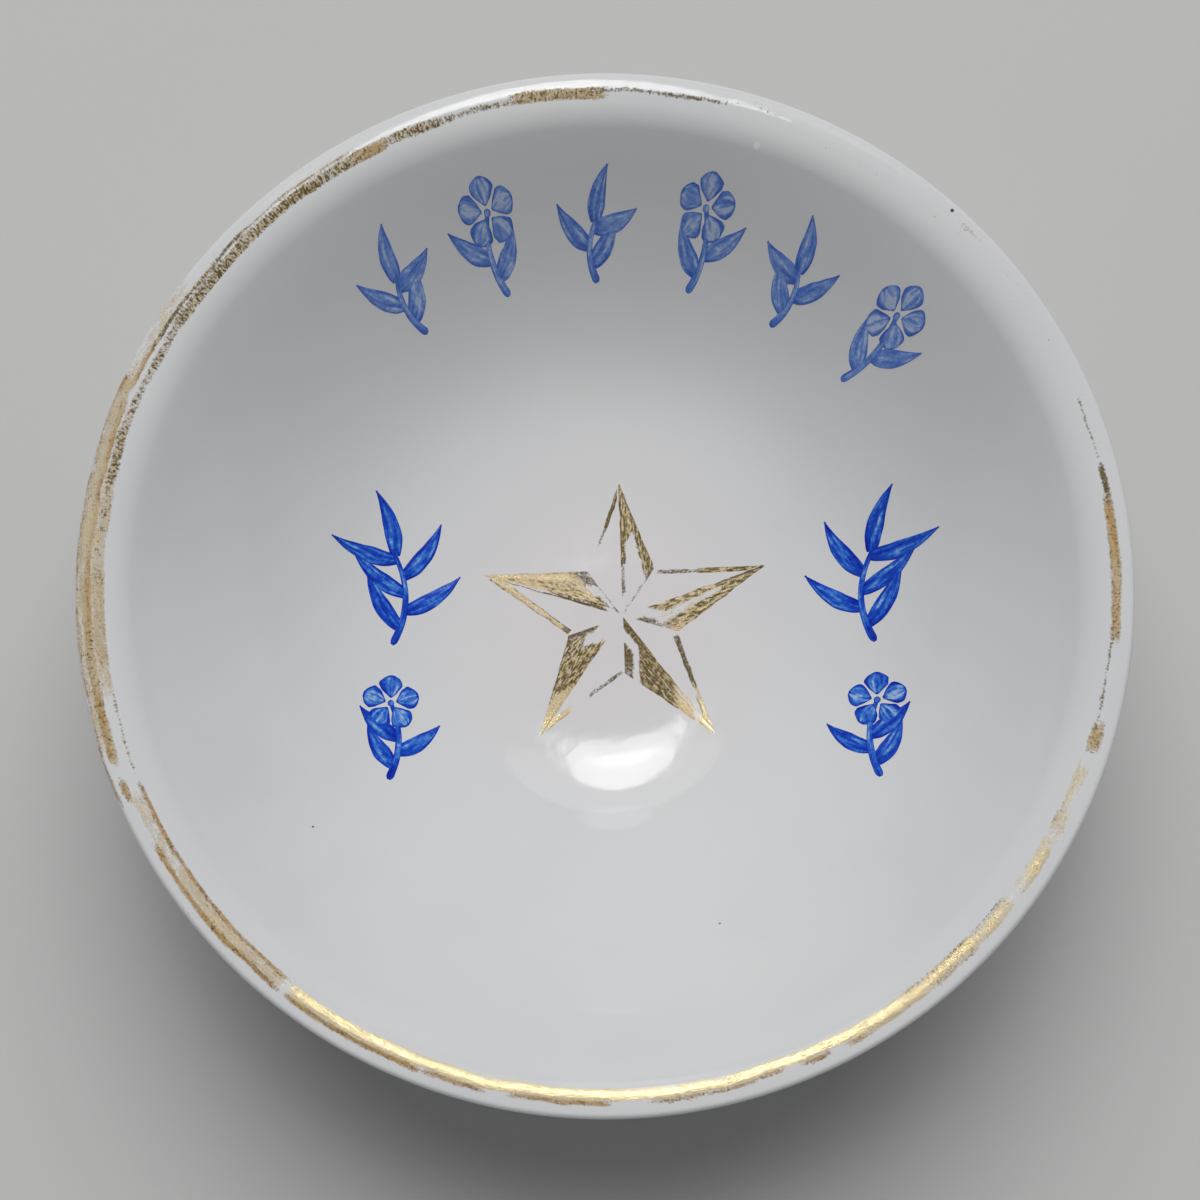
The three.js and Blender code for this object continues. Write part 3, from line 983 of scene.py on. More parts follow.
class WearMap:
    """What is left of a gilt piece, at each point of its grid."""

    def __init__(self, along_it: np.ndarray, across_it: np.ndarray, ease: tuple[float, float]) -> None:
        """Starts with no gold at all.

        Args:
            along_it: The place of each point along the piece.
            across_it: Its place across the piece.
            ease: Over what length along and across a patch fades out at its border.
        """
        self.along_it, self.across_it = np.broadcast_arrays(along_it, across_it)
        self.ease = ease
        self.values = {key: np.zeros(self.along_it.shape) for key in ("cover", "tone", "grime_and_shade", "streak")}

    def add(self, patch: GoldPatch, wraps: float = 0.0) -> None:
        """Lays one more patch.

        Args:
            patch: The patch.
            wraps: The length of the way round, for a piece that closes on itself.
        """
        half = (patch.end - patch.start) / 2
        away = self.along_it - patch.start - half
        if wraps:
            away = (away + wraps / 2) % wraps - wraps / 2
        width = (patch.far - patch.near) / 2
        aside = np.abs(self.across_it - patch.near - width)
        share = smooth_step(half + self.ease[0] / 2, half - self.ease[0] / 2, np.abs(away))
        share = share * smooth_step(width + self.ease[1] / 2, width - self.ease[1] / 2, aside)
        value = patch.cover * share
        weight = value / np.maximum(value + self.values["cover"], TINY)
        for key, target in zip(("tone", "grime_and_shade", "streak"), patch.look.value):
            self.values[key] = self.values[key] + (target - self.values[key]) * weight
        self.values["cover"] = np.maximum(self.values["cover"], value)

    def paint(self, piece: bpy.types.Object, flow: np.ndarray, source: np.ndarray) -> None:
        """Stores the map on a piece.

        Args:
            piece: The piece.
            flow: The flow of its streaks, as a grid of vectors.
            source: For each of its vertices, the place in the grid.
        """
        for key, values in self.values.items():
            paint_values(piece, key, values.ravel()[source])
        paint_values(piece, "flow", flow.reshape(-1, 3)[source])


@dataclass
class GiltRim:
    """The gilt line on the lip, with the stretches in which it is still there.

    Its patches run round it in degrees, and across it in millimetres in from the rim.
    """

    profile: CupProfile
    segments: int = 1080
    lift: float = 0.004
    thickness: float = 0.012
    streaks: tuple[float, float] = (1.0, 4.6)
    marks: tuple[float, float, float] = (5.0, 5.0, 0.5)
    sway: float = 0.16
    sway_pace: float = 11.0
    fullness: float = 0.3
    ease: tuple[float, float] = (2.6, 0.40)
    patches: tuple[GoldPatch, ...] = (
        GoldPatch(-7.0, 9.8, 1.02, 1.72, 0.86, GoldLook.OCHRE),
        GoldPatch(2.0, 8.5, 1.10, 1.62, 1.0, GoldLook.BROWN),
        GoldPatch(9.0, 13.8, 1.10, 1.50, 0.85, GoldLook.GRIMY_AND_SHADED),
        GoldPatch(13.5, 21.5, 1.18, 1.38, 0.66, GoldLook.GRIMY_AND_SHADED),
        GoldPatch(27.0, 31.0, 1.00, 1.30, 0.22, GoldLook.OCHRE),
        GoldPatch(40.0, 46.0, 0.78, 1.02, 0.34, GoldLook.BROWN),
        # On the far lip, from about 70 to 165 degrees, the dark speckled gold is partly painted shade.
        GoldPatch(69.0, 76.0, 0.98, 1.18, 0.40, GoldLook.GRIMY_AND_SHADED),
        GoldPatch(76.0, 92.0, 1.22, 1.56, 0.55, GoldLook.GRIMY_AND_SHADED),
        GoldPatch(90.0, 101.0, 1.10, 1.98, 0.86, GoldLook.OCHRE),
        GoldPatch(92.0, 100.5, 1.30, 1.80, 0.95, GoldLook.SPECKLED),
        GoldPatch(100.8, 110.0, 1.45, 1.95, 0.55, GoldLook.SPECKLED),
        GoldPatch(109.0, 116.0, 1.30, 2.05, 0.74, GoldLook.SPECKLED),
        GoldPatch(116.0, 121.0, 1.20, 2.10, 0.95, GoldLook.OCHRE),
        GoldPatch(120.0, 149.5, 1.30, 2.10, 0.72, GoldLook.SPECKLED),
        GoldPatch(123.5, 136.0, 1.42, 2.04, 0.90, GoldLook.SPECKLED),
        GoldPatch(126.0, 131.0, 1.56, 1.96, 0.80, GoldLook.GRIMY_AND_SHADED),
        GoldPatch(139.0, 146.0, 1.50, 2.02, 0.84, GoldLook.SPECKLED),
        GoldPatch(120.5, 137.0, 1.02, 1.18, 0.80, GoldLook.BROWN),
        GoldPatch(135.0, 151.5, 0.96, 1.20, 0.98, GoldLook.GRIMY_AND_SHADED),
        GoldPatch(141.0, 145.6, 0.96, 1.10, 0.90, GoldLook.GOLDEN),
        GoldPatch(149.0, 164.0, 1.42, 2.05, 0.55, GoldLook.SPECKLED),
        GoldPatch(144.0, 157.0, 0.10, 0.90, 0.50, GoldLook.CREAM),
        GoldPatch(151.0, 158.0, 0.84, 1.14, 0.90, GoldLook.BROWN),
        GoldPatch(156.4, 158.8, 0.05, 1.05, 0.96, GoldLook.OCHRE),
        GoldPatch(157.5, 184.0, 0.25, 1.05, 0.80, GoldLook.CREAM),
        GoldPatch(159.0, 184.0, 0.88, 1.18, 1.0, GoldLook.BROWN),
        GoldPatch(162.0, 172.0, 1.30, 2.00, 0.78, GoldLook.SPECKLED),
        GoldPatch(169.0, 193.0, 1.20, 2.10, 0.72, GoldLook.CREAM),
        GoldPatch(170.5, 181.0, 1.30, 1.95, 0.66, GoldLook.SPECKLED),
        GoldPatch(156.0, 206.0, 0.10, 0.32, 0.70, GoldLook.BROWN),
        GoldPatch(180.0, 199.0, 0.15, 0.62, 0.56, GoldLook.CREAM),
        GoldPatch(179.0, 200.8, 0.55, 1.25, 0.96, GoldLook.OCHRE),
        GoldPatch(179.0, 190.0, 1.25, 2.15, 0.82, GoldLook.OCHRE),
        GoldPatch(190.0, 203.0, 1.90, 2.12, 0.52, GoldLook.SPECKLED),
        GoldPatch(202.8, 205.4, 0.60, 1.15, 0.94, GoldLook.OCHRE),
        GoldPatch(203.5, 231.8, 1.78, 2.15, 0.78, GoldLook.BROWN),
        GoldPatch(204.5, 220.0, 0.95, 1.80, 0.56, GoldLook.CREAM),
        GoldPatch(210.5, 231.8, 0.85, 1.28, 0.92, GoldLook.BROWN),
        GoldPatch(214.0, 231.8, 1.28, 1.82, 0.88, GoldLook.CREAM),
        GoldPatch(232.8, 249.4, 0.86, 1.32, 0.90, GoldLook.BROWN),
        # This bright band lies where the lamp glints on the near lip: partly a painted highlight.
        GoldPatch(232.8, 300.0, 1.28, 2.00, 0.98, GoldLook.BRIGHT_AND_HIGHLIT),
        GoldPatch(249.6, 257.0, 0.92, 1.40, 0.76, GoldLook.BROWN),
        GoldPatch(259.4, 270.6, 0.92, 1.42, 0.80, GoldLook.BROWN),
        GoldPatch(275.0, 290.0, 0.98, 1.38, 0.66, GoldLook.BROWN),
        GoldPatch(292.0, 295.2, 0.88, 1.40, 0.80, GoldLook.BROWN),
        GoldPatch(297.4, 301.0, 0.90, 1.40, 0.80, GoldLook.BROWN),
        GoldPatch(246.0, 286.0, 1.95, 2.15, 0.62, GoldLook.PALE),
        GoldPatch(299.0, 308.0, 0.95, 2.00, 0.84, GoldLook.GOLDEN),
        GoldPatch(298.0, 305.0, 1.25, 1.85, 0.96, GoldLook.BRIGHT_AND_HIGHLIT),
        GoldPatch(305.0, 309.5, 1.05, 2.00, 0.62, GoldLook.PALE),
        GoldPatch(314.5, 321.5, 1.05, 2.00, 0.62, GoldLook.PALE),
        GoldPatch(308.0, 316.0, 1.22, 2.08, 0.94, GoldLook.GOLDEN),
        GoldPatch(308.6, 315.4, 0.90, 1.42, 0.66, GoldLook.OCHRE),
        GoldPatch(316.5, 319.0, 1.10, 1.80, 0.82, GoldLook.GOLDEN),
        GoldPatch(303.5, 321.0, 1.96, 2.15, 0.56, GoldLook.GRIMY_AND_SHADED),
        GoldPatch(322.2, 330.0, 1.00, 1.95, 0.54, GoldLook.PALE),
        GoldPatch(324.5, 329.0, 1.00, 1.72, 0.80, GoldLook.GOLDEN),
        GoldPatch(329.5, 339.0, 1.10, 1.95, 0.50, GoldLook.PALE),
        GoldPatch(330.5, 333.0, 1.55, 2.05, 0.80, GoldLook.OCHRE),
        GoldPatch(340.4, 343.6, 0.95, 1.85, 0.88, GoldLook.OCHRE),
        GoldPatch(343.5, 355.0, 1.48, 1.68, 0.62, GoldLook.GRIMY_AND_SHADED),
    )

    def build(self) -> None:
        """Lays the gold over the lip."""
        p = self.profile
        line = p.lip_crest.joined(p.lip_edge)
        count = len(line.points)
        azimuths = np.linspace(0.0, 360.0, self.segments, endpoint=False)
        ring = np.stack([np.cos(np.radians(azimuths)), np.sin(np.radians(azimuths))], axis=1)
        swell = np.sin(np.linspace(0.0, math.pi, count)) ** self.fullness
        swell[[0, -1]] = 0.0
        grids = []
        for height in (self.lift + self.thickness * swell, np.full(count, self.lift)):
            at = line.points + line.outs * (p.glaze_thickness + height)[:, None]
            plan = at[:, None, :1] * ring[None]
            heights = np.broadcast_to(at[:, None, 1:], plan.shape[:2] + (1,))
            grids.append(np.concatenate([plan, heights], axis=2))
        points, faces, source = film(*grids, rings=True)
        surface = line.offset(p.glaze_thickness)
        steps = np.linalg.norm(np.diff(surface, axis=0), axis=1)
        width = np.concatenate([[0.0], np.cumsum(steps)])
        gold = WornGold("worn_gold_on_lip", self.marks).material()
        piece = mesh_piece("gilt_rim", points, faces, gold, "gilding", ["gilt_rim_line"])
        pace = self.sway_pace
        sway = self.sway * np.array([noise.noise(Vector((pace * x, pace * y, 2.0))) for x, y in ring])
        wear = WearMap(azimuths[None], (p.rim_diameter / 2 - surface[:, 0])[:, None] + sway[None], self.ease)
        for patch in self.patches:
            wear.add(patch, 360.0)
        flow = np.concatenate([
            np.broadcast_to(ring[None] * p.rim_diameter / 2 * self.streaks[0], (count, self.segments, 2)),
            np.broadcast_to(width[:, None, None] * self.streaks[1], (count, self.segments, 1)),
        ], axis=2)
        wear.paint(piece, flow, source)


class StrokeShape(Enum):
    """The ways in which the brush is pressed."""

    STEM = "stem"
    LEAF = "leaf"
    PETAL = "petal"
    DOT = "dot"

    def width(self, share: np.ndarray) -> np.ndarray:
        """Says how wide the stroke is along its length.

        Args:
            share: The shares of its length.

        Returns:
            The widths, as shares of its full width.
        """
        if self is StrokeShape.STEM:
            return (1.0 - 0.45 * share) * smooth_step(-0.04, 0.05, share) * smooth_step(1.05, 0.96, share)
        if self is StrokeShape.LEAF:
            return np.maximum(0.1, np.sin(math.pi * (0.12 + 0.86 * share) ** 0.8))
        if self is StrokeShape.PETAL:
            return np.maximum(0.1, np.sin(math.pi * (0.03 + 0.95 * share) ** 1.35) ** 0.75)
        return np.sqrt(np.clip(1.0 - (2.0 * share - 1.0) ** 2, 0.004, 1.0))

    def pool(self, share: np.ndarray, across: np.ndarray) -> np.ndarray:
        """Says how deep the colour lies.

        Args:
            share: The share of the stroke's length, as a column.
            across: The place across it, from -1 to 1, as a row.

        Returns:
            A grid of depths from 0 to 1.
        """
        rim = smooth_step(0.55, 0.95, np.abs(across))
        if self is StrokeShape.PETAL:
            edge = np.maximum(rim, smooth_step(0.72, 0.98, np.abs(2.0 * share - 1.0)))
            return 0.34 + 0.55 * edge
        ends = smooth_step(0.25, 0.0, share) + smooth_step(0.7, 1.0, share)
        return 0.52 + 0.22 * rim + 0.28 * np.clip(ends, 0.0, 1.0)


@dataclass(frozen=True)
class Stroke:
    """One pull of the brush along a bowed line, seen from above.

    wobble is how much its two sides wander, and pace how often. other_side sets one side's wobble apart from
    the other's.
    """

    start: np.ndarray
    elbow: np.ndarray
    end: np.ndarray
    full_width: float
    shape: StrokeShape
    seed: float
    wobble: float = 0.1
    pace: float = 5.0
    other_side: float = 3.0

    def grid(self, rows: int, columns: int) -> tuple[np.ndarray, np.ndarray, np.ndarray]:
        """Spreads the stroke out.

        Args:
            rows: How many steps go along it.
            columns: How many go across it.

        Returns:
            The plan of its points, their shares along it as a column, and their places across it as a row.
        """
        if self.shape in (StrokeShape.PETAL, StrokeShape.DOT):
            share = (1.0 - np.cos(np.linspace(0.0, math.pi, rows))) / 2.0
        else:
            share = np.linspace(0.0, 1.0, rows)
        t = share[:, None]
        middle = bowed(self.start, self.elbow, self.end, t)
        way = bowed_way(self.start, self.elbow, self.end, t)
        way /= np.linalg.norm(way, axis=1)[:, None]
        aside = np.stack([-way[:, 1], way[:, 0]], axis=1)
        across = np.sin(np.linspace(-math.pi / 2, math.pi / 2, columns))
        half = self.full_width / 2 * self.shape.width(share)
        left = half * (1.0 + self.wobble * wander(share, self.pace, self.seed))
        right = half * (1.0 + self.wobble * wander(share, self.pace, self.seed + self.other_side))
        reach = np.where(across[None] > 0, left[:, None], right[:, None]) * across[None]
        return middle[:, None] + aside[:, None] * reach[..., None], t, across[None]


@dataclass
class Brushwork:
    """Strokes that are laid one over another on the glaze and make one piece.

    streaks says how fine the streaks are along and across a stroke, and how far two strokes' are apart.
    """

    profile: CupProfile
    lift: float = 0.004
    thickness: float = 0.03
    step: float = 0.0015
    rows: int = 34
    columns: int = 11
    streaks: tuple[float, float, float] = (0.6, 3.2, 9.7)

    def lay(self, name: str, strokes: list[Stroke], material: bpy.types.Material, slot: str,
            node: str) -> bpy.types.Object:
        """Lays strokes on the inside of the cup.

        Args:
            name: The piece's name.
            strokes: The strokes in the order in which they are painted.
            material: Their material.
            slot: The material slot of the record.
            node: The solid that the piece stands for.

        Returns:
            The piece, with the values that its material reads.
        """
        parts: list[tuple] = []
        count = 0
        for index, stroke in enumerate(strokes):
            plan, share, across = stroke.grid(self.rows, self.columns)
            swell = dome((1.0 + across) / 2.0) * dome(share)
            base = self.lift + index * self.step
            top = self.profile.on_glaze(plan, base + self.thickness * swell)
            bottom = self.profile.on_glaze(plan, np.full(plan.shape[:2], base))
            points, faces, source = film(top, bottom, rings=False)
            length = float(np.linalg.norm(stroke.end - stroke.start))
            flow = np.zeros(plan.shape[:2] + (3,))
            flow[..., 0] = share * length * self.streaks[0]
            flow[..., 1] = across * stroke.full_width / 2 * self.streaks[1]
            flow[..., 2] = stroke.seed * self.streaks[2]
            pool = np.broadcast_to(stroke.shape.pool(share, across), plan.shape[:2])
            moved = [tuple(corner + count for corner in face) for face in faces]
            parts.append((points, moved, pool.ravel()[source], flow.reshape(-1, 3)[source]))
            count += len(points)
        points, faces, pool, flow = zip(*parts)
        piece = mesh_piece(name, np.concatenate(points), sum(faces, []), material, slot, [node])
        paint_values(piece, "pool", np.concatenate(pool))
        paint_values(piece, "flow", np.concatenate(flow))
        return piece


@dataclass
class GiltStar:
    """The gilt star in the well: a filled half and a thin line for each point.

    The points are counted anticlockwise from the top one. On a filled half, patches run from 0 at the star's
    middle and waist to 1 at the tip, and across from 0 at the ridge to 1 at the outer edge. On a line they
    run from 0 at the waist to 1 at the tip, and across from 0 at its inner side to 1 at the outer edge.
    parting is the gap between a half and the star's middle. The half's tip is blunt: its inner corner lies
    half of that gap from the star's point, and its outer corner tip_parting times the gap.
    """

    profile: CupProfile
    reach: tuple[float, ...] = (10.3, 11.1, 11.1, 11.4, 11.5)
    waist: float = 4.4
    off_axis: float = 1.4
    turn: float = 2.0
    parting: float = 0.08
    tip_parting: float = 3.0
    line_from_waist: float = 0.1
    line_from_tip: float = 0.25
    line_taper: float = 0.9
    line_tip_share: float = 0.6
    shake: float = 0.16
    shake_pace: float = 9.0
    seed_weights: tuple[tuple[float, float], tuple[float, float]] = ((3.1, 1.7), (0.7, 2.3))
    marks: tuple[float, float, float] = (6.0, 2.0, 1.0)
    lift: float = 0.004
    thickness: float = 0.012
    rows: int = 110
    half_columns: int = 34
    line_columns: int = 9
    ease: tuple[float, float] = (0.07, 0.16)
    streaks: tuple[float, float] = (0.95, 3.6)
    line_widths: tuple[tuple[float, float], ...] = (
        (0.30, 0.55), (0.42, 0.95), (0.28, 0.80), (0.42, 0.60), (0.38, 0.60),
    )
    halves: tuple[tuple[GoldPatch, ...], ...] = (
        (
            GoldPatch(0.50, 1.02, -0.1, 1.1, 0.86, GoldLook.NETTED),
            GoldPatch(0.05, 0.56, 0.74, 1.1, 0.84, GoldLook.NETTED),
            GoldPatch(0.36, 1.02, -0.1, 0.24, 0.92, GoldLook.MATTED),
            GoldPatch(0.14, 0.40, -0.1, 0.15, 0.50, GoldLook.GRIMY_AND_SHADED),
            GoldPatch(-0.05, 0.09, 0.72, 1.1, 0.62, GoldLook.MATTED),
            GoldPatch(-0.05, 0.03, -0.1, 1.1, 0.42, GoldLook.GRIMY_AND_SHADED),
            GoldPatch(0.15, 1.0, 0.95, 1.1, 0.95, GoldLook.GRIMY_AND_SHADED),
        ),
        (
            GoldPatch(0.12, 1.02, 0.20, 1.1, 0.84, GoldLook.PALE),
            GoldPatch(0.20, 0.78, 0.34, 0.72, 0.90, GoldLook.MATTED),
            GoldPatch(0.05, 0.50, 0.10, 0.40, 0.74, GoldLook.NETTED),
            GoldPatch(0.10, 0.46, -0.1, 0.14, 0.84, GoldLook.GRIMY_AND_SHADED),
            GoldPatch(0.44, 0.95, -0.1, 0.10, 0.66, GoldLook.MATTED),
            GoldPatch(-0.05, 0.18, 0.62, 1.1, 0.52, GoldLook.GRIMY_AND_SHADED),
            GoldPatch(-0.05, 0.03, 0.0, 1.1, 0.44, GoldLook.GRIMY_AND_SHADED),
            GoldPatch(0.05, 1.0, 0.96, 1.1, 0.92, GoldLook.GRIMY_AND_SHADED),
        ),
        (
            GoldPatch(0.20, 0.64, -0.1, 1.1, 0.90, GoldLook.NETTED),
            GoldPatch(0.22, 0.58, 0.10, 0.70, 0.92, GoldLook.MATTED),
            GoldPatch(0.04, 0.30, 0.58, 1.1, 0.88, GoldLook.NETTED),
            GoldPatch(-0.05, 0.06, 0.45, 1.1, 0.80, GoldLook.GRIMY_AND_SHADED),
            GoldPatch(0.60, 0.86, -0.1, 1.1, 0.84, GoldLook.PALE),
            # The lower tip's bright gold is partly a painted highlight where the lamp glints.
            GoldPatch(0.80, 1.05, -0.1, 1.1, 1.0, GoldLook.BRIGHT_AND_HIGHLIT),
            GoldPatch(0.05, 0.70, 0.95, 1.1, 0.80, GoldLook.GRIMY_AND_SHADED),
        ),
        (
            GoldPatch(0.17, 0.60, 0.06, 1.1, 0.93, GoldLook.MATTED),
            GoldPatch(-0.05, 0.36, -0.1, 0.22, 0.93, GoldLook.GRIMY_AND_SHADED),
            GoldPatch(-0.05, 0.10, 0.45, 1.1, 0.74, GoldLook.GRIMY_AND_SHADED),
            GoldPatch(0.30, 0.62, -0.1, 0.20, 0.80, GoldLook.NETTED),
            GoldPatch(0.56, 0.78, 0.25, 1.1, 0.82, GoldLook.PALE),
            GoldPatch(0.55, 1.0, -0.1, 0.20, 0.62, GoldLook.PALE),
            # The lower tip's bright gold is partly a painted highlight where the lamp glints.
            GoldPatch(0.82, 1.05, -0.1, 1.1, 0.96, GoldLook.BRIGHT_AND_HIGHLIT),
        ),
        (
            GoldPatch(0.18, 0.98, -0.1, 0.36, 0.90, GoldLook.NETTED),
            GoldPatch(0.04, 0.92, 0.60, 1.1, 0.88, GoldLook.NETTED),
            GoldPatch(0.10, 0.70, 0.30, 0.64, 0.34, GoldLook.PALE),
            GoldPatch(-0.03, 0.20, 0.74, 1.1, 0.92, GoldLook.PALE),
            GoldPatch(-0.05, 0.07, 0.22, 0.80, 0.58, GoldLook.GRIMY_AND_SHADED),
            GoldPatch(0.62, 1.05, -0.1, 1.1, 0.86, GoldLook.NETTED),
            GoldPatch(0.10, 1.0, 0.96, 1.1, 0.92, GoldLook.GRIMY_AND_SHADED),
        ),
    )
    lines: tuple[tuple[GoldPatch, ...], ...] = (
        (
            GoldPatch(0.54, 0.90, 0.1, 0.95, 0.84, GoldLook.GRIMY_AND_SHADED),
            GoldPatch(0.86, 1.05, -0.1, 1.1, 0.70, GoldLook.MATTED),
            GoldPatch(0.30, 0.56, 0.2, 0.9, 0.44, GoldLook.GRIMY_AND_SHADED),
        ),
        (
            GoldPatch(0.10, 1.05, -0.1, 1.1, 0.84, GoldLook.PALE),
            GoldPatch(-0.05, 0.30, -0.1, 1.1, 0.70, GoldLook.NETTED),
            GoldPatch(0.0, 1.0, 0.84, 1.1, 0.84, GoldLook.GRIMY_AND_SHADED),
            GoldPatch(0.0, 0.82, -0.1, 0.2, 0.72, GoldLook.GRIMY_AND_SHADED),
        ),
        (
            GoldPatch(0.70, 1.05, -0.1, 1.1, 0.90, GoldLook.PALE),
            GoldPatch(0.84, 1.05, -0.1, 1.1, 1.0, GoldLook.BRIGHT_AND_HIGHLIT),
            GoldPatch(0.0, 0.46, 0.0, 1.0, 0.46, GoldLook.GRIMY_AND_SHADED),
        ),
        (
            GoldPatch(0.02, 0.62, 0.0, 1.0, 0.66, GoldLook.GRIMY_AND_SHADED),
            GoldPatch(0.55, 1.05, 0.3, 1.1, 0.72, GoldLook.PALE),
            GoldPatch(0.74, 1.05, -0.1, 1.1, 0.90, GoldLook.BRIGHT_AND_HIGHLIT),
        ),
        (
            GoldPatch(0.45, 1.05, -0.1, 1.1, 0.92, GoldLook.NETTED),
            GoldPatch(0.0, 0.50, 0.1, 0.9, 0.54, GoldLook.GRIMY_AND_SHADED),
            GoldPatch(0.40, 1.0, 0.86, 1.1, 0.90, GoldLook.GRIMY_AND_SHADED),
        ),
    )

    def at(self, radius: float, points: float) -> np.ndarray:
        """Gives the place at a radius from the star's middle, a number of points round from the top one."""
        heading = 90.0 + self.turn + 360.0 * points / len(self.reach)
        return np.array([self.off_axis, 0.0]) + along(heading) * radius

    def sheet(self, name: str, node: str, sides: tuple[np.ndarray, ...], patches: tuple[GoldPatch, ...],
              material: bpy.types.Material, columns: int) -> None:
        """Lays one sheet of gold.

        Args:
            name: The piece's name.
            node: The solid that it stands for.
            sides: The start and the end of its inner side, and then those of its outer side, seen from above.
            patches: What is left of it.
            material: The gold.
            columns: How many points go across it.
        """
        inner_start, inner_end, outer_start, outer_end = sides
        share = np.linspace(0.0, 1.0, self.rows)[:, None]
        inner = inner_start + (inner_end - inner_start) * share
        outer = outer_start + (outer_end - outer_start) * share
        across = (1.0 - np.cos(np.linspace(0.0, math.pi, columns)))[None] / 2.0
        plan = inner[:, None] + (outer - inner)[:, None] * across[..., None]
        length = float(np.linalg.norm(inner_end - inner_start))
        way = (inner_end - inner_start) / length
        aside = np.array([-way[1], way[0]])
        seed = float(inner_start @ self.seed_weights[0] + inner_end @ self.seed_weights[1])
        shaken = wander(share[:, 0], self.shake_pace, seed)[:, None] * (across - 0.5) * self.shake
        plan = plan - aside * shaken[..., None]
        top = self.profile.on_glaze(plan, self.lift + self.thickness * dome(across) * dome(share))
        bottom = self.profile.on_glaze(plan, np.full(plan.shape[:2], self.lift))
        points, faces, source = film(top, bottom, rings=False)
        piece = mesh_piece(name, points, faces, material, "gilding", [node])
        wear = WearMap(share, across, self.ease)
        for patch in patches:
            wear.add(patch)
        away = plan - inner_start
        seeds = np.full(plan.shape[:2], seed)
        flow = np.stack([away @ way * self.streaks[0], away @ aside * self.streaks[1], seeds], 2)
        wear.paint(piece, flow, source)

    def build(self) -> None:
        """Gilds the star."""
        gold = WornGold("worn_gold_in_well", self.marks).material()
        middle = self.at(0.0, 0.0)
        for index, reach in enumerate(self.reach):
            tip = self.at(reach, index)
            number = index + 1
            before = self.at(self.waist, index - 0.5)
            after = self.at(self.waist, index + 0.5)
            part = self.at(self.parting, index - 0.25) - middle
            sides = (middle + part, tip + part / 2, before + part, tip + part * self.tip_parting)
            self.sheet(
                f"star_half_{number}", f"gilt_star_half_point_{number}", sides, self.halves[index], gold,
                self.half_columns,
            )
            way = (after - tip) / np.linalg.norm(after - tip)
            inward = np.array([-way[1], way[0]])
            low, high = self.line_widths[index]
            foot = after - way * self.line_from_waist
            top = tip + way * self.line_from_tip
            inner_top = top + inward * high * self.line_tip_share + way * self.line_taper
            sides = (foot + inward * low, inner_top, foot, top)
            self.sheet(
                f"star_line_{number}", f"gilt_star_line_{number}", sides, self.lines[index], gold,
                self.line_columns,
            )


